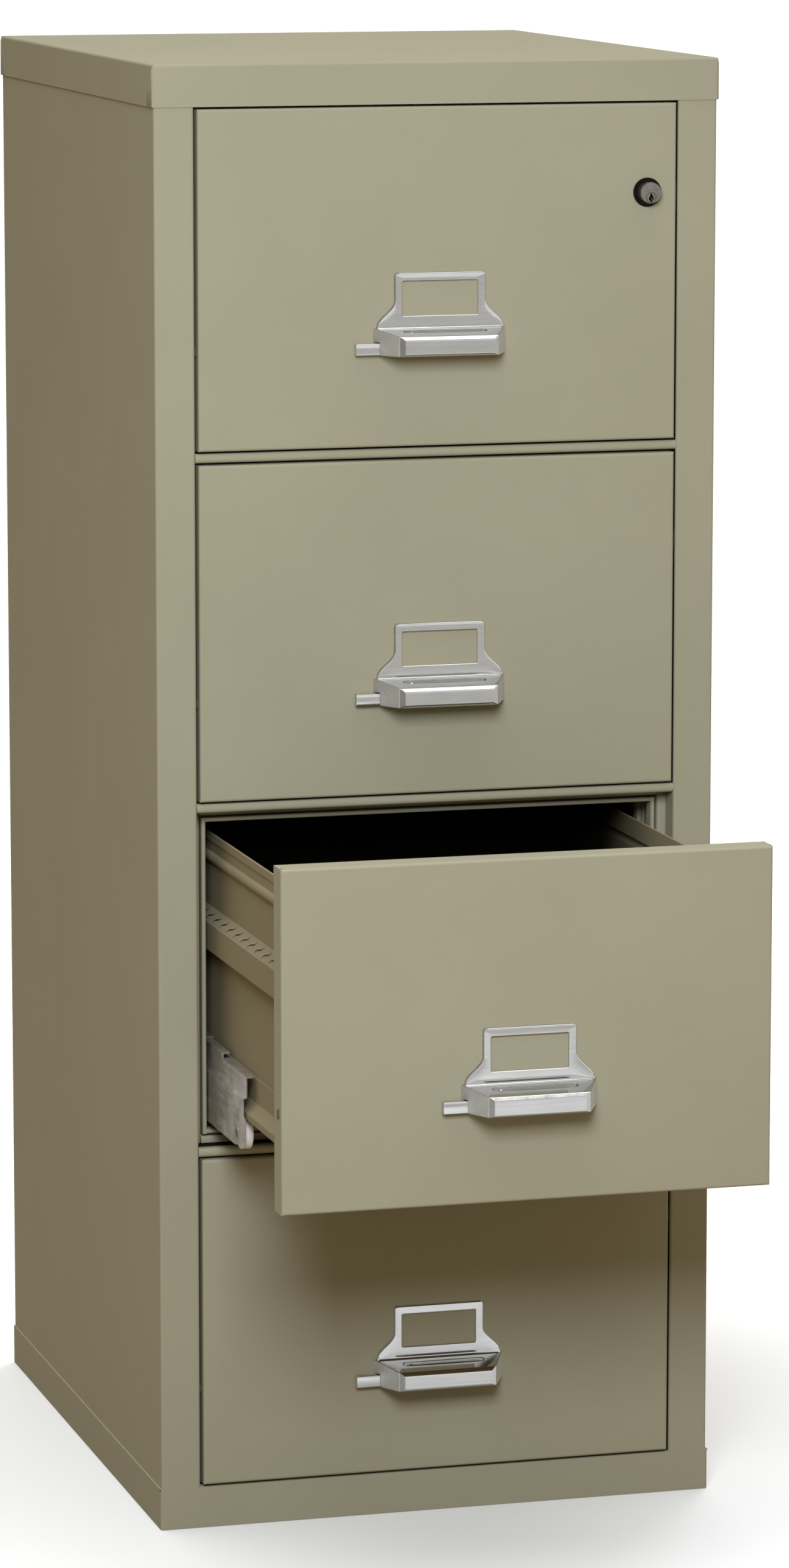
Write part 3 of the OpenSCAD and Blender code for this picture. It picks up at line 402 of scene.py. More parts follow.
def quads(rows, cols, round_cols=True, round_rows=False):
    """Faces of a grid: point (i, j) joins (i, j + 1), (i + 1, j + 1) and (i + 1, j), wrapping where asked."""
    i, j = np.meshgrid(np.arange(rows if round_rows else rows - 1),
                       np.arange(cols if round_cols else cols - 1), indexing="ij")
    right, down = (j + 1) % cols, (i + 1) % rows
    return np.stack([i * cols + j, i * cols + right, down * cols + right, down * cols + j], -1).reshape(-1, 4)


def settle(mesh, finishes, body, stands_for, smooth):
    """Makes a mesh, smooth up to an angle in degrees, a piece that rides on a body and may replace solids."""
    mesh.polygons.foreach_set("use_smooth", np.ones(len(mesh.polygons), dtype=bool))
    mesh.set_sharp_from_angle(angle=math.radians(smooth))
    for finish in finishes:
        mesh.materials.append(finish)
    made = bpy.data.objects.new(mesh.name, mesh)
    bpy.context.scene.collection.objects.link(made)
    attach(made, body)
    if stands_for:
        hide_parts(*stands_for)
    return made


def bevel(made, name, width, segments, angle):
    """Rounds the edges of a piece that turn by more than an angle in degrees."""
    edge = made.modifiers.new(name, "BEVEL")
    edge.width = width
    edge.segments = segments
    edge.limit_method = "ANGLE"
    edge.angle_limit = math.radians(angle)
    edge.harden_normals = True
    return edge


def piece(name, shells, material, body, stands_for=(), smooth=CREASE, others=()):
    """One object from several grids: shells holds (points by row and column, round_cols, round_rows).

    A fourth entry in a shell says how many of its first rows of faces take the first of the other materials,
    or gives each face's material by its place among them all.
    """
    points, faces, shades, count = [], [], [], 0
    for grid, round_cols, round_rows, *other in shells:
        rows, cols = grid.shape[:2]
        points.append(grid.reshape(-1, 3))
        made = quads(rows, cols, round_cols, round_rows)
        faces.append(made + count)
        marked = other[0] if other else 0
        shades.append(marked.ravel() if np.ndim(marked) else made[:, 0] // cols < marked)
        count += rows * cols
    mesh = bpy.data.meshes.new(name)
    mesh.from_pydata(np.concatenate(points).tolist(), [], np.concatenate(faces).tolist())
    mesh.polygons.foreach_set("material_index", np.concatenate(shades).astype(np.int32))
    work = bmesh.new()
    work.from_mesh(mesh)
    bmesh.ops.remove_doubles(work, verts=work.verts, dist=MERGE)
    bmesh.ops.dissolve_degenerate(work, edges=work.edges, dist=SLIVER)
    bmesh.ops.recalc_face_normals(work, faces=work.faces)
    work.to_mesh(mesh)
    work.free()
    return settle(mesh, (material, *others), body, stands_for, smooth)


def eased_copy(node, material, body, width, segments=2):
    """A merged copy of a solid whose flat faces are joined and whose sharp edges get a small round."""
    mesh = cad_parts[node].data.copy()
    mesh.name = "eased_" + node
    work = bmesh.new()
    work.from_mesh(mesh)
    bmesh.ops.remove_doubles(work, verts=work.verts, dist=SOLID_MERGE)
    bmesh.ops.dissolve_limit(work, angle_limit=math.radians(FLAT), verts=work.verts, edges=work.edges)
    work.to_mesh(mesh)
    work.free()
    mesh.materials.clear()
    made = settle(mesh, (material,), body, [node], CREASE)
    bevel(made, "edge", width, segments, CREASE)


def rounded_box(low, high, r, steps=3):
    """A sphere of radius r whose eight octants are pulled out to the box's corners: core * sign + r * n."""
    low, high = np.array(low, float), np.array(high, float)
    middle, core = (low + high) / 2, (high - low) / 2 - r
    lat = np.radians(np.concatenate([np.linspace(-90, 0, steps + 1), np.linspace(0, 90, steps + 1)]))
    up = np.repeat([-1.0, 1.0], steps + 1)
    lon = np.radians(np.concatenate([np.linspace(q, q + 90, steps + 1) for q in (0, 90, 180, 270)]))
    sx = np.repeat([1.0, -1.0, -1.0, 1.0], steps + 1)
    sy = np.repeat([1.0, 1.0, -1.0, -1.0], steps + 1)
    n = np.stack([np.cos(lat)[:, None] * np.cos(lon), np.cos(lat)[:, None] * np.sin(lon),
                  np.sin(lat)[:, None] * np.ones_like(lon)], -1)
    s = np.stack(np.broadcast_arrays(sx, sy, up[:, None]), -1)
    return closed(middle + core * s + r * n), True, False


def closed(tube):
    """A tube of rings whose ends are drawn together to the middle of its first and last ring."""
    ends = [np.broadcast_to(ring.mean(0), tube[:1].shape) for ring in (tube[0], tube[-1])]
    return np.concatenate([ends[0], tube, ends[1]])


def revolved(profile, middle, count=96):
    """A closed profile of (radius, distance out) in mm, turned about the line through middle along -Y."""
    p = np.array(profile, float) * MM
    a = np.linspace(0, 2 * math.pi, count, endpoint=False)
    ring = np.stack([np.cos(a), np.zeros_like(a), np.sin(a)], -1)
    return middle + p[:, None, :1] * ring - p[:, None, 1:] * np.array([0, 1, 0]), True, True


def ray_ring(outline, middle, angles):
    """Where rays from middle at these angles cross a closed outline that is seen whole from there."""
    parallel, slack = 1e-15, 1e-9
    a, b = outline, np.roll(outline, -1, 0)
    d = np.stack([np.cos(angles), np.sin(angles)], -1)[:, None]
    e, f = b - a, a - middle
    cross = d[..., 0] * e[:, 1] - d[..., 1] * e[:, 0]
    safe = np.where(np.abs(cross) < parallel, 1.0, cross)
    along = (f[:, 0] * e[:, 1] - f[:, 1] * e[:, 0]) / safe
    part = (f[:, 0] * d[..., 1] - f[:, 1] * d[..., 0]) / safe
    hit = (np.abs(cross) > parallel) & (part > -slack) & (part < 1 + slack) & (along > 0)
    reach = np.where(hit, along, -1.0).max(1)
    return middle + reach[:, None] * d[:, 0]


def rays(outline, middle, count):
    """Angles from middle to each point of an outline and to count even steps round, each of them once."""
    d = outline - middle
    even = np.linspace(-math.pi, math.pi, count + 1)[:-1]
    return np.unique(np.round(np.concatenate([np.arctan2(d[:, 1], d[:, 0]), even]), 5))


def inset(outline, by):
    """A closed anticlockwise outline moved inwards: each point goes along its corner's bisector."""
    e = np.roll(outline, -1, 0) - outline
    n = np.stack([-e[:, 1], e[:, 0]], -1) / np.linalg.norm(e, axis=1)[:, None]
    m = np.roll(n, 1, 0)
    return outline + by * (n + m) / (1 + (n * m).sum(1))[:, None]


def corner(middle, r, start, count=5):
    """A quarter circle of points, anticlockwise from the start angle in degrees."""
    a = np.radians(np.linspace(start, start + 90, count))
    return np.array(middle) + r * np.stack([np.cos(a), np.sin(a)], -1)


def box_outline(low, high, r):
    """A rectangle with rounded corners, anticlockwise."""
    (x0, z0), (x1, z1) = low, high
    return np.concatenate([corner((x1 - r, z0 + r), r, 270), corner((x1 - r, z1 - r), r, 0),
                           corner((x0 + r, z1 - r), r, 90), corner((x0 + r, z0 + r), r, 180)])


def coat(material, *nodes):
    """Puts a material on solids that stay as they are."""
    for name in nodes:
        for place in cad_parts[name].material_slots:
            place.material = material


def each(name):
    """The four drawers' nodes of that name."""
    return [f"{name}_{n}" for n in DRAWERS]


def behind(front, distances):
    """Places along Y in metres, the given distances in mm behind a front."""
    return [front + far * MM for far in distances]


def grip_frame(n):
    """Middle of a grip in X, its head's face in Y and the grip's lower edge in Z, in metres."""
    low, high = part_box("handle_" + n)
    return np.array([(low[0] + high[0]) / 2, high[1], low[2]])


def at_grip(local, n):
    """Points given in mm across, out from the head and up, placed on drawer n's head."""
    local = np.asarray(local, float)
    return grip_frame(n) + MM * np.stack([local[..., 0], -local[..., 1], local[..., 2]], -1)


# Label plate and grip, in mm: u across, d out from the head, w up from the grip's lower edge
GRIP_X, GRIP_H, OUT = 62.0, 24.5, 36.0
CHEEK_X, FACE_X, STEP = 46.5, 42.0, 33.0
LEDGE_FRONT, FACE_HIGH, FACE_LOW, RIM_LOW, WALL = 19.0, 15.5, 3.0, 0.8, 2.5
CEILING_FALL, CEILING_MIDDLE = 6.5, 14.0
# Down from the ledge: two steps at the back, and the cheek's bevel, which ends above its rim
BACK_STEP, CHEEK_BEVEL, CHEEK_FOOT = 0.8, 3.5, 1.5
PLATE_X, PLATE_T, PLATE_R, TALL = 42.75, 3.0, 3, 74.0
# The plate's outline starts behind the grip, and its flare goes from FLARE_X in to PLATE_X
TUCKED = ((60.6, 22.6), (60.0, 24.6))
FLARE_X, FLARE_LOW, FLARE_TALL = GRIP_X - 3, 26, 22.5
WINDOW = ((-35.6, 35.1), (35.6, 66.4))
WINDOW_R, WINDOW_RIM = 1.4, 0.5
# The recess is an obround in u and d whose walls lean in by RECESS_DRAFT
RECESS_MIDDLE, RECESS_HALF, RECESS_R, RECESS_DRAFT = (1.0, 15.5), 34.5, 4.5, 0.6
# The thumb tab's slot in the left cheek: first d, last d and top
TAB_SLOT = (1.6, 8.4, 11.8)
# The post inside the grip that the latch spring presses on
POST = ((-30.0, 2.0, 2.6), (-28.0, 12.0, 20.5))
# Front, top, end and back wall of the thumb tab, a hair apart so that no two corners meet, and its stem
TAB_WALLS = (((-80, 6.5, 0.6), (-45, 8.0, 11.3)), ((-79.98, 2.2, 9.78), (-45.02, 7.98, 11.28)),
             ((-79.96, 2.22, 0.64), (-78.46, 7.96, 11.26)), ((-53, 2.0, 0.66), (-45.04, 7.94, 11.24)))
STEM = ((-52, -9.0, 2.95), (-46, 3.0, 8.95))
# The bar behind the head's face, from the latch's tip to the stem: d and w of one edge, then the other
BAR_LOW, BAR_HIGH = (-11.0, 1.95), (-46, -8.3, 9.95)
POST_EDGE, STEM_EDGE, BAR_EDGE = 0.4, 0.5, 0.6


def plate_grid(edge):
    """The label plate as one closed tube round its window.

    The outer line goes in from the grip's width to the plate's by a half cosine, u = a + b * (1 + cos t) / 2.
    Its rim is a quarter circle of radius edge, and the window's rim a bevel that falls as far as it goes in.
    """
    t = np.linspace(0, math.pi, 19)
    across = PLATE_X + (FLARE_X - PLATE_X) * (1 + np.cos(t)) / 2
    flare = np.stack([across, FLARE_LOW + FLARE_TALL * t / math.pi], -1)
    right = np.concatenate([TUCKED, flare, corner((PLATE_X - PLATE_R, TALL - PLATE_R), PLATE_R, 0, 7)])
    outer = np.concatenate([right, right[::-1] * (-1, 1)])
    inner = box_outline(*WINDOW, WINDOW_R)
    middle = np.array([0, (WINDOW[0][1] + WINDOW[1][1]) / 2])
    angles = rays(np.concatenate([outer, inner]), middle, 72)
    q = np.linspace(0, math.pi / 2, 6)
    lines = [(ray_ring(outer, middle, angles), 0.0)]
    for a in q:
        rim = inset(outer, edge * (1 - math.cos(a)))
        lines.append((ray_ring(rim, middle, angles), PLATE_T - edge + edge * math.sin(a)))
    for a in q[::2]:
        rim = inset(inner, -WINDOW_RIM * math.cos(a))
        lines.append((ray_ring(rim, middle, angles), PLATE_T - WINDOW_RIM + WINDOW_RIM * math.cos(a)))
    lines.append((ray_ring(inner, middle, angles), 0.0))
    grid = np.stack([np.insert(ring, 1, d, axis=1) for ring, d in lines])
    # The rim's left edge, where it turns to the front, has the darker plate as a painted reflection
    painted_rim_reflection = np.zeros(grid.shape[:2], dtype=int)
    painted_rim_reflection[2:5, np.cos(angles) < -0.86] = 1
    return grid, True, True, painted_rim_reflection


def ledge_height(d):
    """Height of the grip's sloping top at a distance out from the head."""
    return GRIP_H + (LEDGE_FRONT - GRIP_H) * d / STEP


def cheek_u(d):
    """Half the grip's width at a distance out from the head."""
    return GRIP_X + (CHEEK_X - GRIP_X) * d / STEP


def ceiling(d):
    """Height of the sloping ceiling inside the grip at a distance out from the head."""
    return GRIP_H - WALL - CEILING_FALL * d / STEP


def grip_columns():
    """The grip's columns: kind (0 back, 1 cheek, 2 front), u and d of the ledge, and 1 at the tab's slot."""
    slot_low, slot_high, _ = TAB_SLOT
    cheek = np.unique(np.concatenate([np.linspace(0, STEP, 21), [slot_low, slot_high]]))
    columns = [(0, u, 0.0, 0) for u in np.linspace(-GRIP_X, GRIP_X, 18)]
    columns += [(1, cheek_u(d), d, 0) for d in cheek]
    columns += [(2, u, STEP, 0) for u in np.linspace(-CHEEK_X, CHEEK_X, 24)[::-1]]
    for d in cheek[::-1]:
        marks = [int(slot_low < d < slot_high)]
        if d == slot_high:
            marks = [0, 1]
        elif d == slot_low:
            marks = [1, 0]
        columns += [(1, -cheek_u(d), d, lifted) for lifted in marks]
    return [np.array(c) for c in zip(*columns)]


def grip_grid(recess):
    """The hollow grip as rings of one closed shell round the long recess in its top.

    Each column is a point of the ledge's edge; its ring points go from the recess over the ledge, down the
    front or a cheek, under the rim and up inside to the ceiling. Twin columns at a corner keep it sharp.
    """
    kind, u, d, lifted = grip_columns()
    is_back, is_front = kind == 0, kind == 2
    top = ledge_height(d)
    centre = np.array(RECESS_MIDDLE)
    a = np.radians(np.linspace(-90, 90, 25))
    end = np.stack([RECESS_HALF + RECESS_R * np.cos(a), RECESS_R * np.sin(a)], -1)
    obround = centre + np.concatenate([end, -end])
    angles = np.arctan2(d - centre[1], u - centre[0])
    mouth = ray_ring(obround, centre, angles)
    sole = ray_ring(inset(obround, RECESS_DRAFT), centre, angles)
    floor = ledge_height(centre[1]) - recess
    low = np.where(lifted == 1, TAB_SLOT[2], RIM_LOW * d / STEP)
    shrink = np.where(is_front, FACE_X / CHEEK_X, 1.0)
    out = np.where(is_front, OUT, d)
    high = np.where(is_back, top - BACK_STEP, np.where(is_front, FACE_HIGH, top - CHEEK_BEVEL))
    foot = np.where(is_front, FACE_LOW, np.maximum(low + CHEEK_FOOT, FACE_LOW))
    mid = np.where(is_back, top - 2 * BACK_STEP, foot)
    rim = np.where(is_back, GRIP_H - WALL, low)
    inner_u = u * (GRIP_X - WALL) / GRIP_X
    inner_d = np.where(is_back, 0, d * (STEP - WALL) / STEP)
    rows = [
        np.broadcast_to([*centre, floor], (len(u), 3)),
        np.stack([sole[:, 0], sole[:, 1], np.full_like(u, floor)], -1),
        np.stack([mouth[:, 0], mouth[:, 1], ledge_height(mouth[:, 1])], -1),
        np.stack([u, d, top], -1),
        np.stack([u * shrink, out, high], -1),
        np.stack([u * shrink, out, mid], -1),
        np.stack([u, d, rim], -1),
        np.stack([inner_u, inner_d, rim], -1),
        np.stack([inner_u, inner_d, ceiling(inner_d)], -1),
        np.broadcast_to([0.0, CEILING_MIDDLE, ceiling(CEILING_MIDDLE)], (len(u), 3))]
    # The recess has the darker thin plate, partly real and partly painted shade, the bevel beside the left
    # cheek has it as a painted reflection, and the cheeks a satin one
    shade = np.zeros((len(rows) - 1, len(u)), dtype=int)
    shade[:2] = 1
    shade[3:6, np.flatnonzero(is_front)[-1]] = 1
    shade[3:6, (kind == 1) & (np.roll(kind, -1) == 1)] = 2
    return np.stack(rows), True, False, shade


def fillet_grid(r):
    """The hollow curve between plate and ledge: a quarter circle of radius r carried across the grip.

    Towards its ends the section shrinks to a foot inside the corner.
    """
    a = np.radians(np.linspace(180, 270, 7))
    arc = np.stack([PLATE_T - 0.2 + r + r * np.cos(a), ledge_height(PLATE_T + r) + r + r * np.sin(a)], -1)
    ring = np.concatenate([arc, [(PLATE_T - 0.6, GRIP_H - 2)]])
    across = np.array([-58.6, -58.2, -57.0, 57.0, 58.2, 58.6])
    size = np.array([0.02, 0.6, 1.0, 1.0, 0.6, 0.02])
    foot = np.array([PLATE_T - 0.3, GRIP_H - 0.7])
    body = foot + size[:, None, None] * (ring - foot)
    tube = np.concatenate([np.broadcast_to(across[:, None, None], body[..., :1].shape), body], -1)
    return closed(tube), True, False


# Case, in mm
# Where the painted shade starts and is full, behind the front of a drawer, liner, stile's return and sill
BODY_FADE, LINER_FADE, RETURN_FADE, SILL_FADE = (190, 400), (25, 100), (1.6, 3.6), (5, 11)
# In Y and Z from a cap corner's top: a tab 20 mm long whose upper end slants up to the corner,
# how deep it is rooted, how its top is drawn in, and the line of painted shade beside it
TAB_SHAPE = ((0.9, -38.0), (20.0, -38.0), (20.4, -37.6), (20.4, -22.6),
             (20.0, -21.4), (3.2, -4.0), (2.4, -3.4), (0.9, -4.6))
TAB_ROOT, TAB_BEVEL = 0.6, 0.985
TAB_LINE = (((2.6, -3.6), (2.2, -2.9)), ((20.0, -21.4), (20.6, -20.9)),
            ((20.4, -22.6), (21.2, -22.4)), ((20.4, -37.8), (21.2, -37.8)))
# The same from a base corner's top: a wedge of shadow below the edge
BASE_WEDGE = (((0.9, -0.3), (0.9, -1.5)), ((3.0, -0.25), (3.0, -1.2)), ((6.0, -0.2), (6.0, -0.5)))
LINE_ROOT, LINE_PROUD = 0.4, 0.08
# A slit at a head's top corner: its start from the corner, half its width and its run
SLIT_START, SLIT_HALF, SLIT_RUN = (2.2, 2.6, 0.02), (0.45, 0.3), (-1.4, 4.0)
SLIT_ROOT, SLIT_PROUD = 0.3, 0.06


class CABINET_OT_case(bpy.types.Operator):
    """Paints the case, heads and drawer bodies with painted shade in gaps and depths, and adds the folded
    corner tabs and painted shade at seams and slits
    """

    bl_idname = "cabinet.case"
    bl_label = "Case and drawers"

    def execute(self, context):
        finish, seams = context.scene.cabinet_finish, context.scene.cabinet_seams
        enamel = baked_enamel(finish, "baked_enamel")
        dark = phosphate_and_painted_shade("seam_shadow", *SEAM_SHADE_TONES)
        coat(enamel, "top_cap", "base_pan", "opening_frames", *each("drawer_head"), *each("head_cover"))
        self.paint(finish)
        fill = poured_fill(finish)
        coat(fill, "side_insulation", "back_insulation", "shelf_insulation", *each("head_core"))
        self.tabs(enamel, seams.tab)
        self.seams(dark)
        for n in DRAWERS:
            self.slits(n, dark)
        return {"FINISHED"}

    def paint(self, finish):
        """Coats drawer bodies, liners, stiles and sills with enamel that darkens to painted shade deeper in.
        """
        # Drawer bodies take the darker colour, and their inner faces and floors darken towards the back, as
        # painted shade
        for n in DRAWERS:
            depth = behind(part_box("drawer_sides_" + n)[0][1], BODY_FADE)
            sides = baked_enamel(finish, "drawer_side_enamel_" + n, depth, inwards=True, paint=finish.body)
            coat(sides, "drawer_sides_" + n)
            floor = baked_enamel(finish, "drawer_floor_enamel_" + n, depth, paint=finish.body)
            coat(floor, "drawer_floor_" + n)
        mouth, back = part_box("opening_frames")[1][:2]
        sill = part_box("opening_rails")[0][1]
        # Liners and uprights darken towards the back as painted shade
        liners = baked_enamel(finish, "enamel_liner_shade", behind(back, LINER_FADE))
        coat(liners, "drawer_liners", "slide_uprights")
        # Painted shade in the narrow gaps beside the heads, except at the drawer that stands open
        low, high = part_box("drawer_head_3")
        gaps = [("X", 0.0, mouth + 1 * MM, 1), ("Y", sill, back - sill, 1),
                ("Z", (low[2] + high[2]) / 2, (high[2] - low[2]) / 2 + 4 * MM, 0)]
        coat(baked_enamel(finish, "enamel_returns", behind(sill, RETURN_FADE), gaps), "outer_wrapper")
        # Sills darken just behind their front as painted shade, in the gaps below the heads
        coat(baked_enamel(finish, "enamel_sills", behind(sill, SILL_FADE)), "opening_rails")

    def tabs(self, enamel, thick):
        """The cap's folded corner tabs: an outline raised from inside the cap's side, drawn in at its top."""
        low, high = np.array(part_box("top_cap"))
        shape = np.array(TAB_SHAPE) * MM
        shells = []
        for side, front in ((-1, 1), (1, 1), (-1, -1), (1, -1)):
            ring = np.stack([np.zeros(len(shape)), (low if front > 0 else high)[1] + front * shape[:, 0],
                             high[2] + shape[:, 1]], -1)
            middle = ring.mean(0)
            face = (low if side < 0 else high)[0]
            rows = [ring + (face - side * TAB_ROOT * MM, 0, 0), ring + (face + side * 0.5 * thick, 0, 0),
                    middle + (ring - middle) * TAB_BEVEL + (face + side * thick, 0, 0)]
            shells.append((closed(np.stack(rows)), True, False))
        piece("cap_corner_tabs", shells, enamel, "cabinet")

    def seams(self, dark):
        """Lines of painted shade beside the cap's tabs and a wedge of painted shadow below each front corner
        of the base's top.

        Each is a strip between two lines in Y and Z from the corner, from inside the sheet to just proud.
        """
        shells = []
        cap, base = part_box("top_cap"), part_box("base_pan")
        for line, foot, fronts in ((TAB_LINE, cap, (1, -1)), (BASE_WEDGE, base, (1,))):
            strip = np.array(line) * MM
            for side in (-1, 1):
                face = foot[0][0] if side < 0 else foot[1][0]
                for front in fronts:
                    y = (foot[0] if front > 0 else foot[1])[1] + front * strip[..., 0]
                    z = foot[1][2] + strip[..., 1]
                    under = np.stack([np.full_like(y, face - side * LINE_ROOT * MM), y, z], -1)
                    over = np.stack([np.full_like(y, face + side * LINE_PROUD * MM), y, z], -1)
                    shells.append((closed(np.concatenate([under, over[:, ::-1]], 1)), True, False))
        piece("corner_seam_shades", shells, dark, "cabinet")

    def slits(self, n, dark):
        """Dark parallelograms of painted shade for the slanting slits at a head's top corners, from inside
        the sheet to just proud.
        """
        low, high = np.array(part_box("drawer_head_" + n))
        start_x, start_y, sunk = np.array(SLIT_START) * MM
        shells = []
        for x, turn in ((low[0], 1), (high[0], -1)):
            start = np.array([x + turn * start_x, low[1] + start_y, high[2] - sunk])
            across = np.array([turn * SLIT_HALF[0], SLIT_HALF[1], 0]) * MM
            along = np.array([turn * SLIT_RUN[0], SLIT_RUN[1], 0]) * MM
            quad = np.stack([start - across, start + across, start + across + along, start - across + along])
            rows = np.stack([quad - (0, 0, SLIT_ROOT * MM), quad + (0, 0, SLIT_PROUD * MM)])
            shells.append((closed(rows), True, False))
        piece("corner_slit_shades_" + n, shells, dark, "drawer_" + n)


# Suspension, in mm
ROLLER_EDGE = 1.4
# The leaf spring's strip and how far the tab presses it, and its section: across the strip, and up as a share
STRIP_HALF, TRAVEL = 0.25, 8.5
STRIP_SIDE = (-1, -1, -0.6, 0.6, 1, 1, 0.6, -0.6)
STRIP_UP = (0.2, 0.8, 1, 1, 0.8, 0.2, 0, 0)
# A rivet head: radius and height above the cradle's face
RIVET_HEAD = ((0, 0.42), (1.6, 0.40), (3.0, 0.30), (3.6, 0.12),
              (3.8, 0.10), (4.1, 0.28), (4.5, 0.22), (4.7, -0.3))
# The drawer side's shoulder below its top edge, and the S-shaped slots along it
SHOULDER_OUT, SHOULDER_RISE, SHOULDER_DROP = 9.5, 11, 79
SLOT_PITCH, SLOT_FIRST, SLOT_REACH, SLOT_RUN = 25.4, 30, 0.34, 0.54
# The lip stands this far behind its slot, and the painted shade in the cut is a flat dark ribbon: across, and
# above the sheet
LIP_BEHIND = 1.15
CUT_SHADE = ((-0.75, 0.06), (0.75, 0.06), (0.75, -0.5), (-0.75, -0.5))


class CABINET_OT_suspension(bpy.types.Operator):
    """Finishes the slides, rollers and strikes, bends the latch springs and raises lips along the slots"""

    bl_idname = "cabinet.suspension"
    bl_label = "Suspension"

    def execute(self, context):
        finish, seams = context.scene.cabinet_finish, context.scene.cabinet_seams
        zinc, nylon = galvanised_sheet(finish), moulded_nylon(finish)
        coat(zinc, "case_channels", "latch_strikes", "lock_bar")
        coat(nylon, *each("case_rollers"))
        axle = np.array(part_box("cradle_rollers_1")).mean(0)
        steel = turned_metal("rivet_steel", linear(RIVET), axle, low=0.4, high=0.5)
        enamel = bpy.data.materials["baked_enamel"]
        for n in DRAWERS:
            eased_copy("slide_cradles_" + n, zinc, "cradle_" + n, seams.ease)
            eased_copy("cradle_rollers_" + n, nylon, "cradle_roller_" + n, ROLLER_EDGE * MM, 3)
            self.lips(n, enamel, seams.lip)
            self.rivets(n, steel)
            self.spring(n, zinc)
        return {"FINISHED"}

    def spring(self, n, zinc):
        """A leaf of thin strip between the tab and its post, bent to half an ellipse.

        It goes by minus the cosine of a along X and by the sine of a outwards, a from 0 to 180 degrees.
        """
        low, high = np.array(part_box("latch_spring_" + n))
        half = STRIP_HALF * MM
        a = np.linspace(0, math.pi, 33)[:, None]
        long, deep = (high[0] - low[0]) / 2 - half, high[1] - low[1] - half
        x = (low[0] + high[0]) / 2 - long * np.cos(a)
        y = high[1] - deep * np.sin(a)
        way = np.hypot(deep * np.cos(a), long * np.sin(a))
        side = np.array(STRIP_SIDE) * half
        z = np.array(STRIP_UP) * (high[2] - low[2]) + low[2]
        strip = np.stack(np.broadcast_arrays(x - side * deep * np.cos(a) / way,
                                             y - side * long * np.sin(a) / way, z), -1)
        made = piece("leaf_spring_" + n, [(closed(strip), True, False)], zinc, "drawer_" + n,
                     ["latch_spring_" + n])
        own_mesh(made)

    def rivets(self, n, steel):
        """Flat rivet heads on the cradles' outer faces: a low dome inside a pressed ring, turned about X."""
        axle = np.array(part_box("cradle_rollers_" + n)).mean(0)
        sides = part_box("slide_cradles_" + n)
        profile = np.array(RIVET_HEAD) * MM
        a = np.linspace(0, 2 * math.pi, 40, endpoint=False)
        shells = []
        for way, face in ((-1, sides[0][0]), (1, sides[1][0])):
            grid = np.stack([np.broadcast_to(face + way * profile[:, 1:], (len(profile), len(a))),
                             axle[1] + profile[:, :1] * np.cos(a), axle[2] + profile[:, :1] * np.sin(a)], -1)
            foot = np.broadcast_to([face + way * profile[-1, 1], axle[1], axle[2]], grid[:1].shape)
            shells.append((np.concatenate([grid, foot]), True, False))
        piece("axle_rivets_" + n, shells, steel, "cradle_" + n, smooth=50)

    def lips(self, n, enamel, height):
        """A half-round bead along the back of each S, and a dark ribbon of painted shade in it for the cut.

        The S goes forwards by the sine of 90 degrees times t, and inwards by (t + t ** 3) / 2.
        """
        low, high = np.array(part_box("drawer_sides_" + n))
        shoulder_out, rise, drop = SHOULDER_OUT * MM, SHOULDER_RISE * MM, SHOULDER_DROP * MM
        pitch, first = SLOT_PITCH * MM, SLOT_FIRST * MM
        count = int((high[1] - low[1] - 2 * first) / pitch) + 1
        t = np.linspace(-1, 1, 17)
        inwards = shoulder_out / 2 + SLOT_REACH * shoulder_out * (t + t ** 3) / 2
        y = -SLOT_RUN * pitch / 2 * np.sin(math.pi / 2 * t)
        z = high[2] - drop + rise * inwards / shoulder_out
        a = np.linspace(0, math.pi, 6)[:, None]
        # The bead narrows at its ends and is sunk a little into the sheet
        size = height * np.clip(1.15 - np.abs(t) ** 6, 0.2, 1)[:, None, None]
        wide = np.array(CUT_SHADE) * MM
        shells = []
        for side, edge in ((-1, low[0]), (1, high[0])):
            line = np.stack([edge - side * inwards, y, z], -1)
            up = np.array([side * rise, 0, shoulder_out]) / math.hypot(rise, shoulder_out)
            beside = np.cross(np.gradient(line, axis=0), up)
            beside /= np.linalg.norm(beside, axis=1)[:, None] * np.sign(beside[0, 1])
            arch = np.cos(a) * beside[:, None] + np.sin(a) * up - 0.15 * up
            bead = (line + beside * LIP_BEHIND * MM)[:, None] + size * arch
            cut_shade = line[:, None] + wide[:, :1] * beside[:, None] + wide[:, 1:] * up
            for k in range(count):
                move = (0, low[1] + first + k * pitch, 0)
                shells += [(closed(bead) + move, True, False), (closed(cut_shade) + move, True, False, len(t) + 1)]
        piece("slot_lips_" + n, shells, enamel, "drawer_" + n, smooth=60,
              others=[bpy.data.materials["seam_shadow"]])


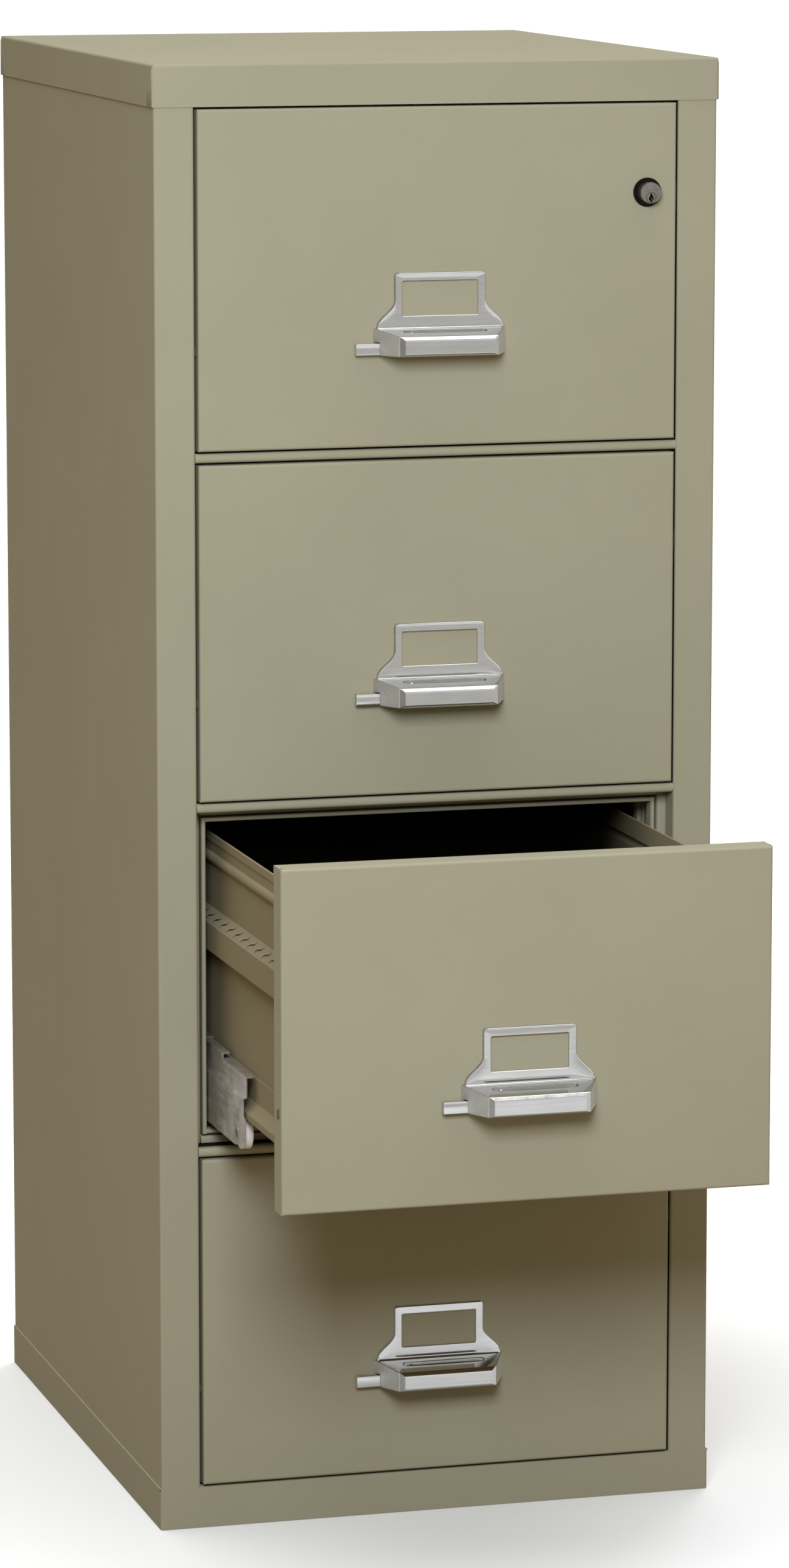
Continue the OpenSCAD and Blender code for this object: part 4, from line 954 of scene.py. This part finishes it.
class CABINET_OT_grips(bpy.types.Operator):
    """Builds the chrome grips with their label plates, and the folded thumb tabs"""

    bl_idname = "cabinet.grips"
    bl_label = "Grips and thumb tabs"

    def execute(self, context):
        finish, sizes = context.scene.cabinet_finish, context.scene.cabinet_grips
        chrome = chrome_plate("bright_chrome", finish.chrome, low=0.04, high=0.12)
        # Darker thin plate: partly real, partly painted shade in the recesses and painted reflection on the
        # left
        thin_plate_and_shade = chrome_plate("thin_and_shaded_chrome", finish.thin_plate_and_shade, low=0.16, high=0.3)
        satin = chrome_plate("satin_chrome", finish.chrome, low=0.46, high=0.54)
        strip = phosphate_and_painted_shade("phosphated_strip", *STRIP_TONES)
        plate = plate_grid(sizes.edge / MM)
        fillet = fillet_grid(sizes.fillet / MM)
        grip = grip_grid(sizes.recess / MM)
        for n in DRAWERS:
            shells = [(at_grip(points, n), *rest) for points, *rest in (plate, fillet)]
            piece("label_plate_" + n, shells, chrome, "drawer_" + n, others=[thin_plate_and_shade])
            shells = [(at_grip(grip[0], n), *grip[1:]), self.block(n, *POST, POST_EDGE * MM)]
            made = piece("grip_" + n, shells, chrome, "drawer_" + n, ["handle_" + n], smooth=30,
                         others=[thin_plate_and_shade, satin])
            bevel(made, "ease", sizes.ease, segments=3, angle=24).use_clamp_overlap = False
            self.tab(n, chrome, strip, sizes.tab_edge)
        return {"FINISHED"}

    def block(self, n, low, high, r):
        """A rounded box between two corners, given in mm across, out from drawer n's head and up."""
        ends = at_grip([low, high], n)
        return rounded_box(ends.min(0), ends.max(0), r)

    def tab(self, n, chrome, strip, r):
        """A tab folded from 1.5 mm strip, its stem and the bar behind the head's face, as rounded boxes."""
        nose = (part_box("thumb_latch_" + n)[0][0] - grip_frame(n)[0]) / MM
        shells = [self.block(n, *wall, r) for wall in TAB_WALLS]
        shells.append(self.block(n, *STEM, STEM_EDGE * MM))
        bar = self.block(n, (nose, *BAR_LOW), BAR_HIGH, BAR_EDGE * MM)
        piece("thumb_tab_" + n, shells, chrome, "latch_" + n, ["thumb_latch_" + n])
        piece("latch_bar_" + n, [bar], strip, "latch_" + n, ["thumb_latch_" + n])


# Lock, in mm. The ring's section: radius and distance out from the head
RING = ((9.82, -1.2), (9.82, 0.3), (9.95, 0.5), (10.6, 0.55), (11.4, 0.8), (12.1, 1.25), (12.55, 1.75),
        (12.8, 1.95), (13.05, 1.9), (13.2, 1.6), (13.2, 0.05), (10.3, 0.05), (10.3, -1.2))
BARREL_R, BARREL_OUT, BORE_R, BORE_DROP = 9.5, 13.0, 4.7, -4.3
# Half of the keyhole's outline, and the point inside it that its rays start from
KEYHOLE = ((0.75, -3.95), (0.75, -2.9), (1.45, -2.5), (2.1, -1.8), (2.4, -0.8), (2.2, 0.2), (1.65, 1.0),
           (1.2, 1.9), (1.0, 2.8), (0.75, 3.5), (0.4, 3.8))
KEY_SEAT = (0, -0.4)
WAFER, WAFER_EDGE = ((0.1, -12.2, -6.2), (1.7, -5.8, -4.8)), 0.5
LOCK_CREASE = 40


class CABINET_OT_lock(bpy.types.Operator):
    """Builds the push lock: dished ring, plunger and key plug"""

    bl_idname = "cabinet.lock"
    bl_label = "Lock"

    def execute(self, context):
        finish = context.scene.cabinet_finish
        low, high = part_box("lock_bezel")
        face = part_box("drawer_head_1")[0][1]
        middle = np.array([(low[0] + high[0]) / 2, face, (low[2] + high[2]) / 2])
        bronze = turned_metal("dark_bronze", finish.bronze, middle, low=0.3, high=0.45)
        nickel = turned_metal("satin_nickel", finish.nickel, middle, low=0.32, high=0.46)
        ring = revolved(RING, middle)
        piece("lock_ring", [ring], bronze, "drawer_1", ["lock_bezel"], LOCK_CREASE)
        self.plunger(middle, nickel)
        self.plug(middle, nickel, bpy.data.materials["seam_shadow"])
        return {"FINISHED"}

    def plunger(self, middle, nickel):
        """Circles of (radius, distance out, height of centre) joined in order.

        They are the inner end, the side with its groove, the rounded face, and then the bore.
        """
        r, out, bore, drop = BARREL_R, BARREL_OUT, BORE_R, BORE_DROP
        rings = [(0.0, -10, 0), (r - 0.4, -10, 0), (r, -9.6, 0), (r, out - 2.0, 0), (r - 0.12, out - 1.9, 0),
                 (r - 0.35, out - 1.7, 0), (r - 0.35, out - 1.3, 0), (r - 0.1, out - 1.1, 0),
                 (r, out - 1.0, 0), (r, out - 0.35, 0), (r - 0.1, out - 0.12, 0), (r - 0.32, out - 0.02, 0),
                 (r - 0.42, out, 0), (bore + 0.08, out, drop), (bore, out - 0.1, drop), (bore, -8, drop),
                 (0.0, -8, drop)]
        k = np.array(rings) * MM
        a = np.linspace(0, 2 * math.pi, 96, endpoint=False)
        grid = np.stack([k[:, :1] * np.cos(a), np.broadcast_to(-k[:, 1:2], (len(k), len(a))),
                         k[:, 2:] + k[:, :1] * np.sin(a)], -1) + middle
        piece("lock_barrel", [(grid, True, False)], nickel, "lock_plunger", ["lock_plunger"],
              LOCK_CREASE)

    def plug(self, middle, nickel, dark):
        """A round plug whose face runs in to a keyhole, dark inside as painted shade, with the end of a
        bright wafer in it.

        Half of the keyhole's outline is listed, and the other half mirrors it.
        """
        half, seat, out = np.array(KEYHOLE), np.array(KEY_SEAT), BARREL_OUT
        hole = np.concatenate([half, half[::-1] * (-1, 1)])
        angles = rays(hole, seat, 64)
        ring = np.stack([np.cos(angles), np.sin(angles)], -1)
        edge = ray_ring(hole, seat, angles)
        rows = [(edge * 0 + seat, 6.0), (edge, 6.0), (edge, out - 0.15), (edge * 1.01, out),
                (ring * 4.15, out), (ring * 4.32, out - 0.06), (ring * 4.4, out - 0.25),
                (ring * 4.4, -7.4), (ring * 4.1, -7.7), (ring * 0, -7.7)]
        local = [np.stack([p[:, 0], np.full(len(p), -d), p[:, 1] + BORE_DROP], -1) for p, d in rows]
        grid = np.stack(local) * MM + middle
        wafer = middle + np.array(WAFER) * MM
        # The keyhole's inner rows take the dark material as painted shade
        shells = [(grid, True, False, 2), rounded_box(*wafer, WAFER_EDGE * MM)]
        piece("lock_core", shells, nickel, "lock_plug", ["lock_plug"], LOCK_CREASE, [dark])


# Stage, in metres
FLOOR_REACH, FLOOR_SIDES, FLOOR_DROP = 90, 64, 0.0005
# Between these distances from the middle the floor goes from shadow to open
SHADOW_NEAR, SHADOW_FAR = 0.4, 1.1
SHADOW_GAIN, MIRROR_GAIN, GLOW_NEAR, GLOW_OPEN = 0.92, 0.72, 0.1, 0.2
# Height of a ray, from 0 level to 1 straight up, where the walls end and the grey ceiling is reached
WALL_END, CEILING_START, CEILING_GREY = 0.15, 0.8, 0.6
TOP_WAY = (-0.02, 0.26, 0.97)
KEY_STAND, KEY_TARGET = (-0.8, -2.9, 2.0), (0.0, -0.3, 0.95)
REAR_STAND, REAR_TARGET = (1.9, 2.4, 1.7), (0.2, 0.2, 0.65)
SENSOR, CLIP_END = 36, 400


class CABINET_OT_stage(bpy.types.Operator):
    """Lays the pale floor, sets soft light and places the camera"""

    bl_idname = "cabinet.stage"
    bl_label = "Stage"

    def execute(self, context):
        scene, look = context.scene, context.scene.cabinet_stage
        scene.view_settings.view_transform = "Standard"
        self.floor(scene, look)
        self.room(scene, look)
        lamp = bpy.data.lights.new("top", "SUN")
        lamp.energy = look.sun
        lamp.angle = look.spread
        top = bpy.data.objects.new("top", lamp)
        top.matrix_world = Vector(TOP_WAY).to_track_quat("Z", "Y").to_matrix().to_4x4()
        scene.collection.objects.link(top)
        self.softbox(scene, "key", look.lamp, look.tint, Vector(KEY_STAND), Vector(KEY_TARGET))
        self.softbox(scene, "rear", look.rear, look.tint, Vector(REAR_STAND), Vector(REAR_TARGET))
        self.camera(scene, look)
        return {"FINISHED"}

    def seen(self, tree):
        """1 for rays from the camera, a mirror or glass, and 0 for rays that only light the object."""
        path = add(tree, "ShaderNodeLightPath", {}, {}).outputs
        both = add(tree, "ShaderNodeMath", {"operation": "ADD"},
                   {0: path["Is Camera Ray"], 1: path["Is Glossy Ray"]}).outputs[0]
        return add(tree, "ShaderNodeMath", {"operation": "ADD", "use_clamp": True},
                   {0: both, 1: path["Is Transmission Ray"]}).outputs[0]

    def floor(self, scene, look):
        """A pale round floor that is white in the open and keeps the shadow close to the cabinet."""
        a = np.linspace(0, 2 * math.pi, FLOOR_SIDES, endpoint=False)
        ring = np.stack([np.cos(a), np.sin(a), np.zeros_like(a)], -1)
        mesh = bpy.data.meshes.new("floor")
        mesh.from_pydata((ring * FLOOR_REACH - (0, 0, FLOOR_DROP)).tolist(), [], [list(range(FLOOR_SIDES))])
        material, tree, shader, place = blank("pale_floor")
        tint = add(tree, "ShaderNodeTexNoise", {},
                   {"Vector": place, "Scale": per_mm(900), "Detail": 2.0}).outputs["Fac"]
        dark, light = rgba(look.floor, 0.99), rgba(look.floor, 1.01)
        pale = add(tree, "ShaderNodeMix", RGBA, {"Factor": tint, MIX_A: dark, MIX_B: light}).outputs[MIXED]
        # Close to the cabinet the floor is a little less bright, so that the shadow shows there
        away = add(tree, "ShaderNodeVectorMath", {"operation": "LENGTH"}, {0: place}).outputs["Value"]
        open_floor = add(tree, "ShaderNodeMapRange", SMOOTH,
                         {"Value": away, "From Min": SHADOW_NEAR, "From Max": SHADOW_FAR}).outputs[0]
        shade = add(tree, "ShaderNodeMix", RGBA,
                    {"Factor": open_floor, MIX_A: rgba(look.floor, SHADOW_GAIN), MIX_B: pale}).outputs[MIXED]
        # In a mirror the lit floor would be brighter than white, so it is toned down there
        path = add(tree, "ShaderNodeLightPath", {}, {}).outputs
        mirrored = add(tree, "ShaderNodeMix", RGBA, {"Factor": path["Is Glossy Ray"], MIX_A: shade,
                                                     MIX_B: rgba(look.floor, MIRROR_GAIN)}).outputs[MIXED]
        tone = add(tree, "ShaderNodeMix", RGBA,
                   {"Factor": self.seen(tree), MIX_A: rgba(look.bounce), MIX_B: mirrored}).outputs[MIXED]
        # Seen directly, the open floor also glows a little, so that it is white where no shadow falls
        bright = add(tree, "ShaderNodeMath", ADD_SCALED,
                     {0: open_floor, 1: GLOW_OPEN, 2: GLOW_NEAR}).outputs[0]
        glow = add(tree, "ShaderNodeMath", TIMES, {0: path["Is Camera Ray"], 1: bright}).outputs[0]
        feed(tree, shader, {"Base Color": tone, "Roughness": 0.9, "Specular IOR Level": 0.1,
                            "Emission Color": (1, 1, 1, 1), "Emission Strength": glow})
        mesh.materials.append(material)
        floor = bpy.data.objects.new("floor", mesh)
        scene.collection.objects.link(floor)

    def room(self, scene, look):
        """White walls under a grey ceiling where the room is seen, and the fill's colour where it lights."""
        world = bpy.data.worlds.new("studio")
        world.use_nodes = True
        tree = world.node_tree
        tree.nodes.clear()
        way = add(tree, "ShaderNodeTexCoord", {}, {}).outputs["Generated"]
        height = add(tree, "ShaderNodeSeparateXYZ", {}, {0: way}).outputs["Z"]
        grey = add(tree, "ShaderNodeMapRange", SMOOTH,
                   {"Value": height, "From Min": WALL_END, "From Max": CEILING_START, "To Min": 1.0,
                    "To Max": CEILING_GREY}).outputs[0]
        sky = add(tree, "ShaderNodeMix", RGBA,
                  {"Factor": self.seen(tree), MIX_A: rgba(look.fill), MIX_B: grey}).outputs[MIXED]
        light = add(tree, "ShaderNodeBackground", {}, {"Color": sky})
        add(tree, "ShaderNodeOutputWorld", {}, {"Surface": light.outputs[0]})
        scene.world = world

    def softbox(self, scene, name, watts, tint, stand, target):
        """A lamp 1 m square that stands at one point and faces another."""
        lamp = bpy.data.lights.new(name, "AREA")
        lamp.energy = watts
        lamp.size = 1.0
        lamp.color = tint
        made = bpy.data.objects.new(name, lamp)
        turn = (stand - target).to_track_quat("Z", "Y").to_matrix().to_4x4()
        made.matrix_world = Matrix.Translation(stand) @ turn
        # The chrome mirrors the white room and not the lamp's square
        made.visible_glossy = False
        scene.collection.objects.link(made)

    def camera(self, scene, look):
        """A camera that stands at the eye, turned to the right, tilted and rolled by the aim."""
        lens = bpy.data.cameras.new("camera")
        lens.sensor_fit = "VERTICAL"
        lens.sensor_height = SENSOR
        lens.lens = look.lens
        lens.clip_end = CLIP_END
        camera = bpy.data.objects.new("camera", lens)
        turn, tilt, roll = look.aim
        camera.matrix_world = (Matrix.Translation(look.eye) @ Matrix.Rotation(-turn, 4, "Z")
                               @ Matrix.Rotation(math.pi / 2 + tilt, 4, "X") @ Matrix.Rotation(roll, 4, "Z"))
        scene.collection.objects.link(camera)
        scene.camera = camera


class CABINET_PT_panel(bpy.types.Panel):
    """Lists the cabinet's steps, sizes and colours"""

    bl_idname = "CABINET_PT_panel"
    bl_label = "Filing cabinet"
    bl_space_type = "VIEW_3D"
    bl_region_type = "UI"
    bl_category = "Cabinet"

    def draw(self, context):
        for step in STEPS:
            self.layout.operator(step.bl_idname)
        for holder in HOLDERS:
            box = self.layout.box()
            group = getattr(context.scene, holder)
            for name in group.bl_rna.properties.keys():
                if name not in ("rna_type", "name"):
                    box.prop(group, name)


HOLDERS = {"cabinet_finish": CabinetFinish, "cabinet_grips": CabinetGrips, "cabinet_seams": CabinetSeams,
           "cabinet_stage": CabinetStage}
STEPS = (CABINET_OT_stage, CABINET_OT_case, CABINET_OT_suspension, CABINET_OT_grips, CABINET_OT_lock)
CLASSES = (*HOLDERS.values(), *STEPS, CABINET_PT_panel)


def register():
    for made in CLASSES:
        bpy.utils.register_class(made)
    for holder, group in HOLDERS.items():
        setattr(bpy.types.Scene, holder, PointerProperty(type=group))


def unregister():
    for holder in HOLDERS:
        delattr(bpy.types.Scene, holder)
    for made in reversed(CLASSES):
        bpy.utils.unregister_class(made)


def main():
    register()
    bpy.ops.cabinet.stage()
    bpy.ops.cabinet.case()
    bpy.ops.cabinet.suspension()
    bpy.ops.cabinet.grips()
    bpy.ops.cabinet.lock()


if __name__ == "__main__":
    main()
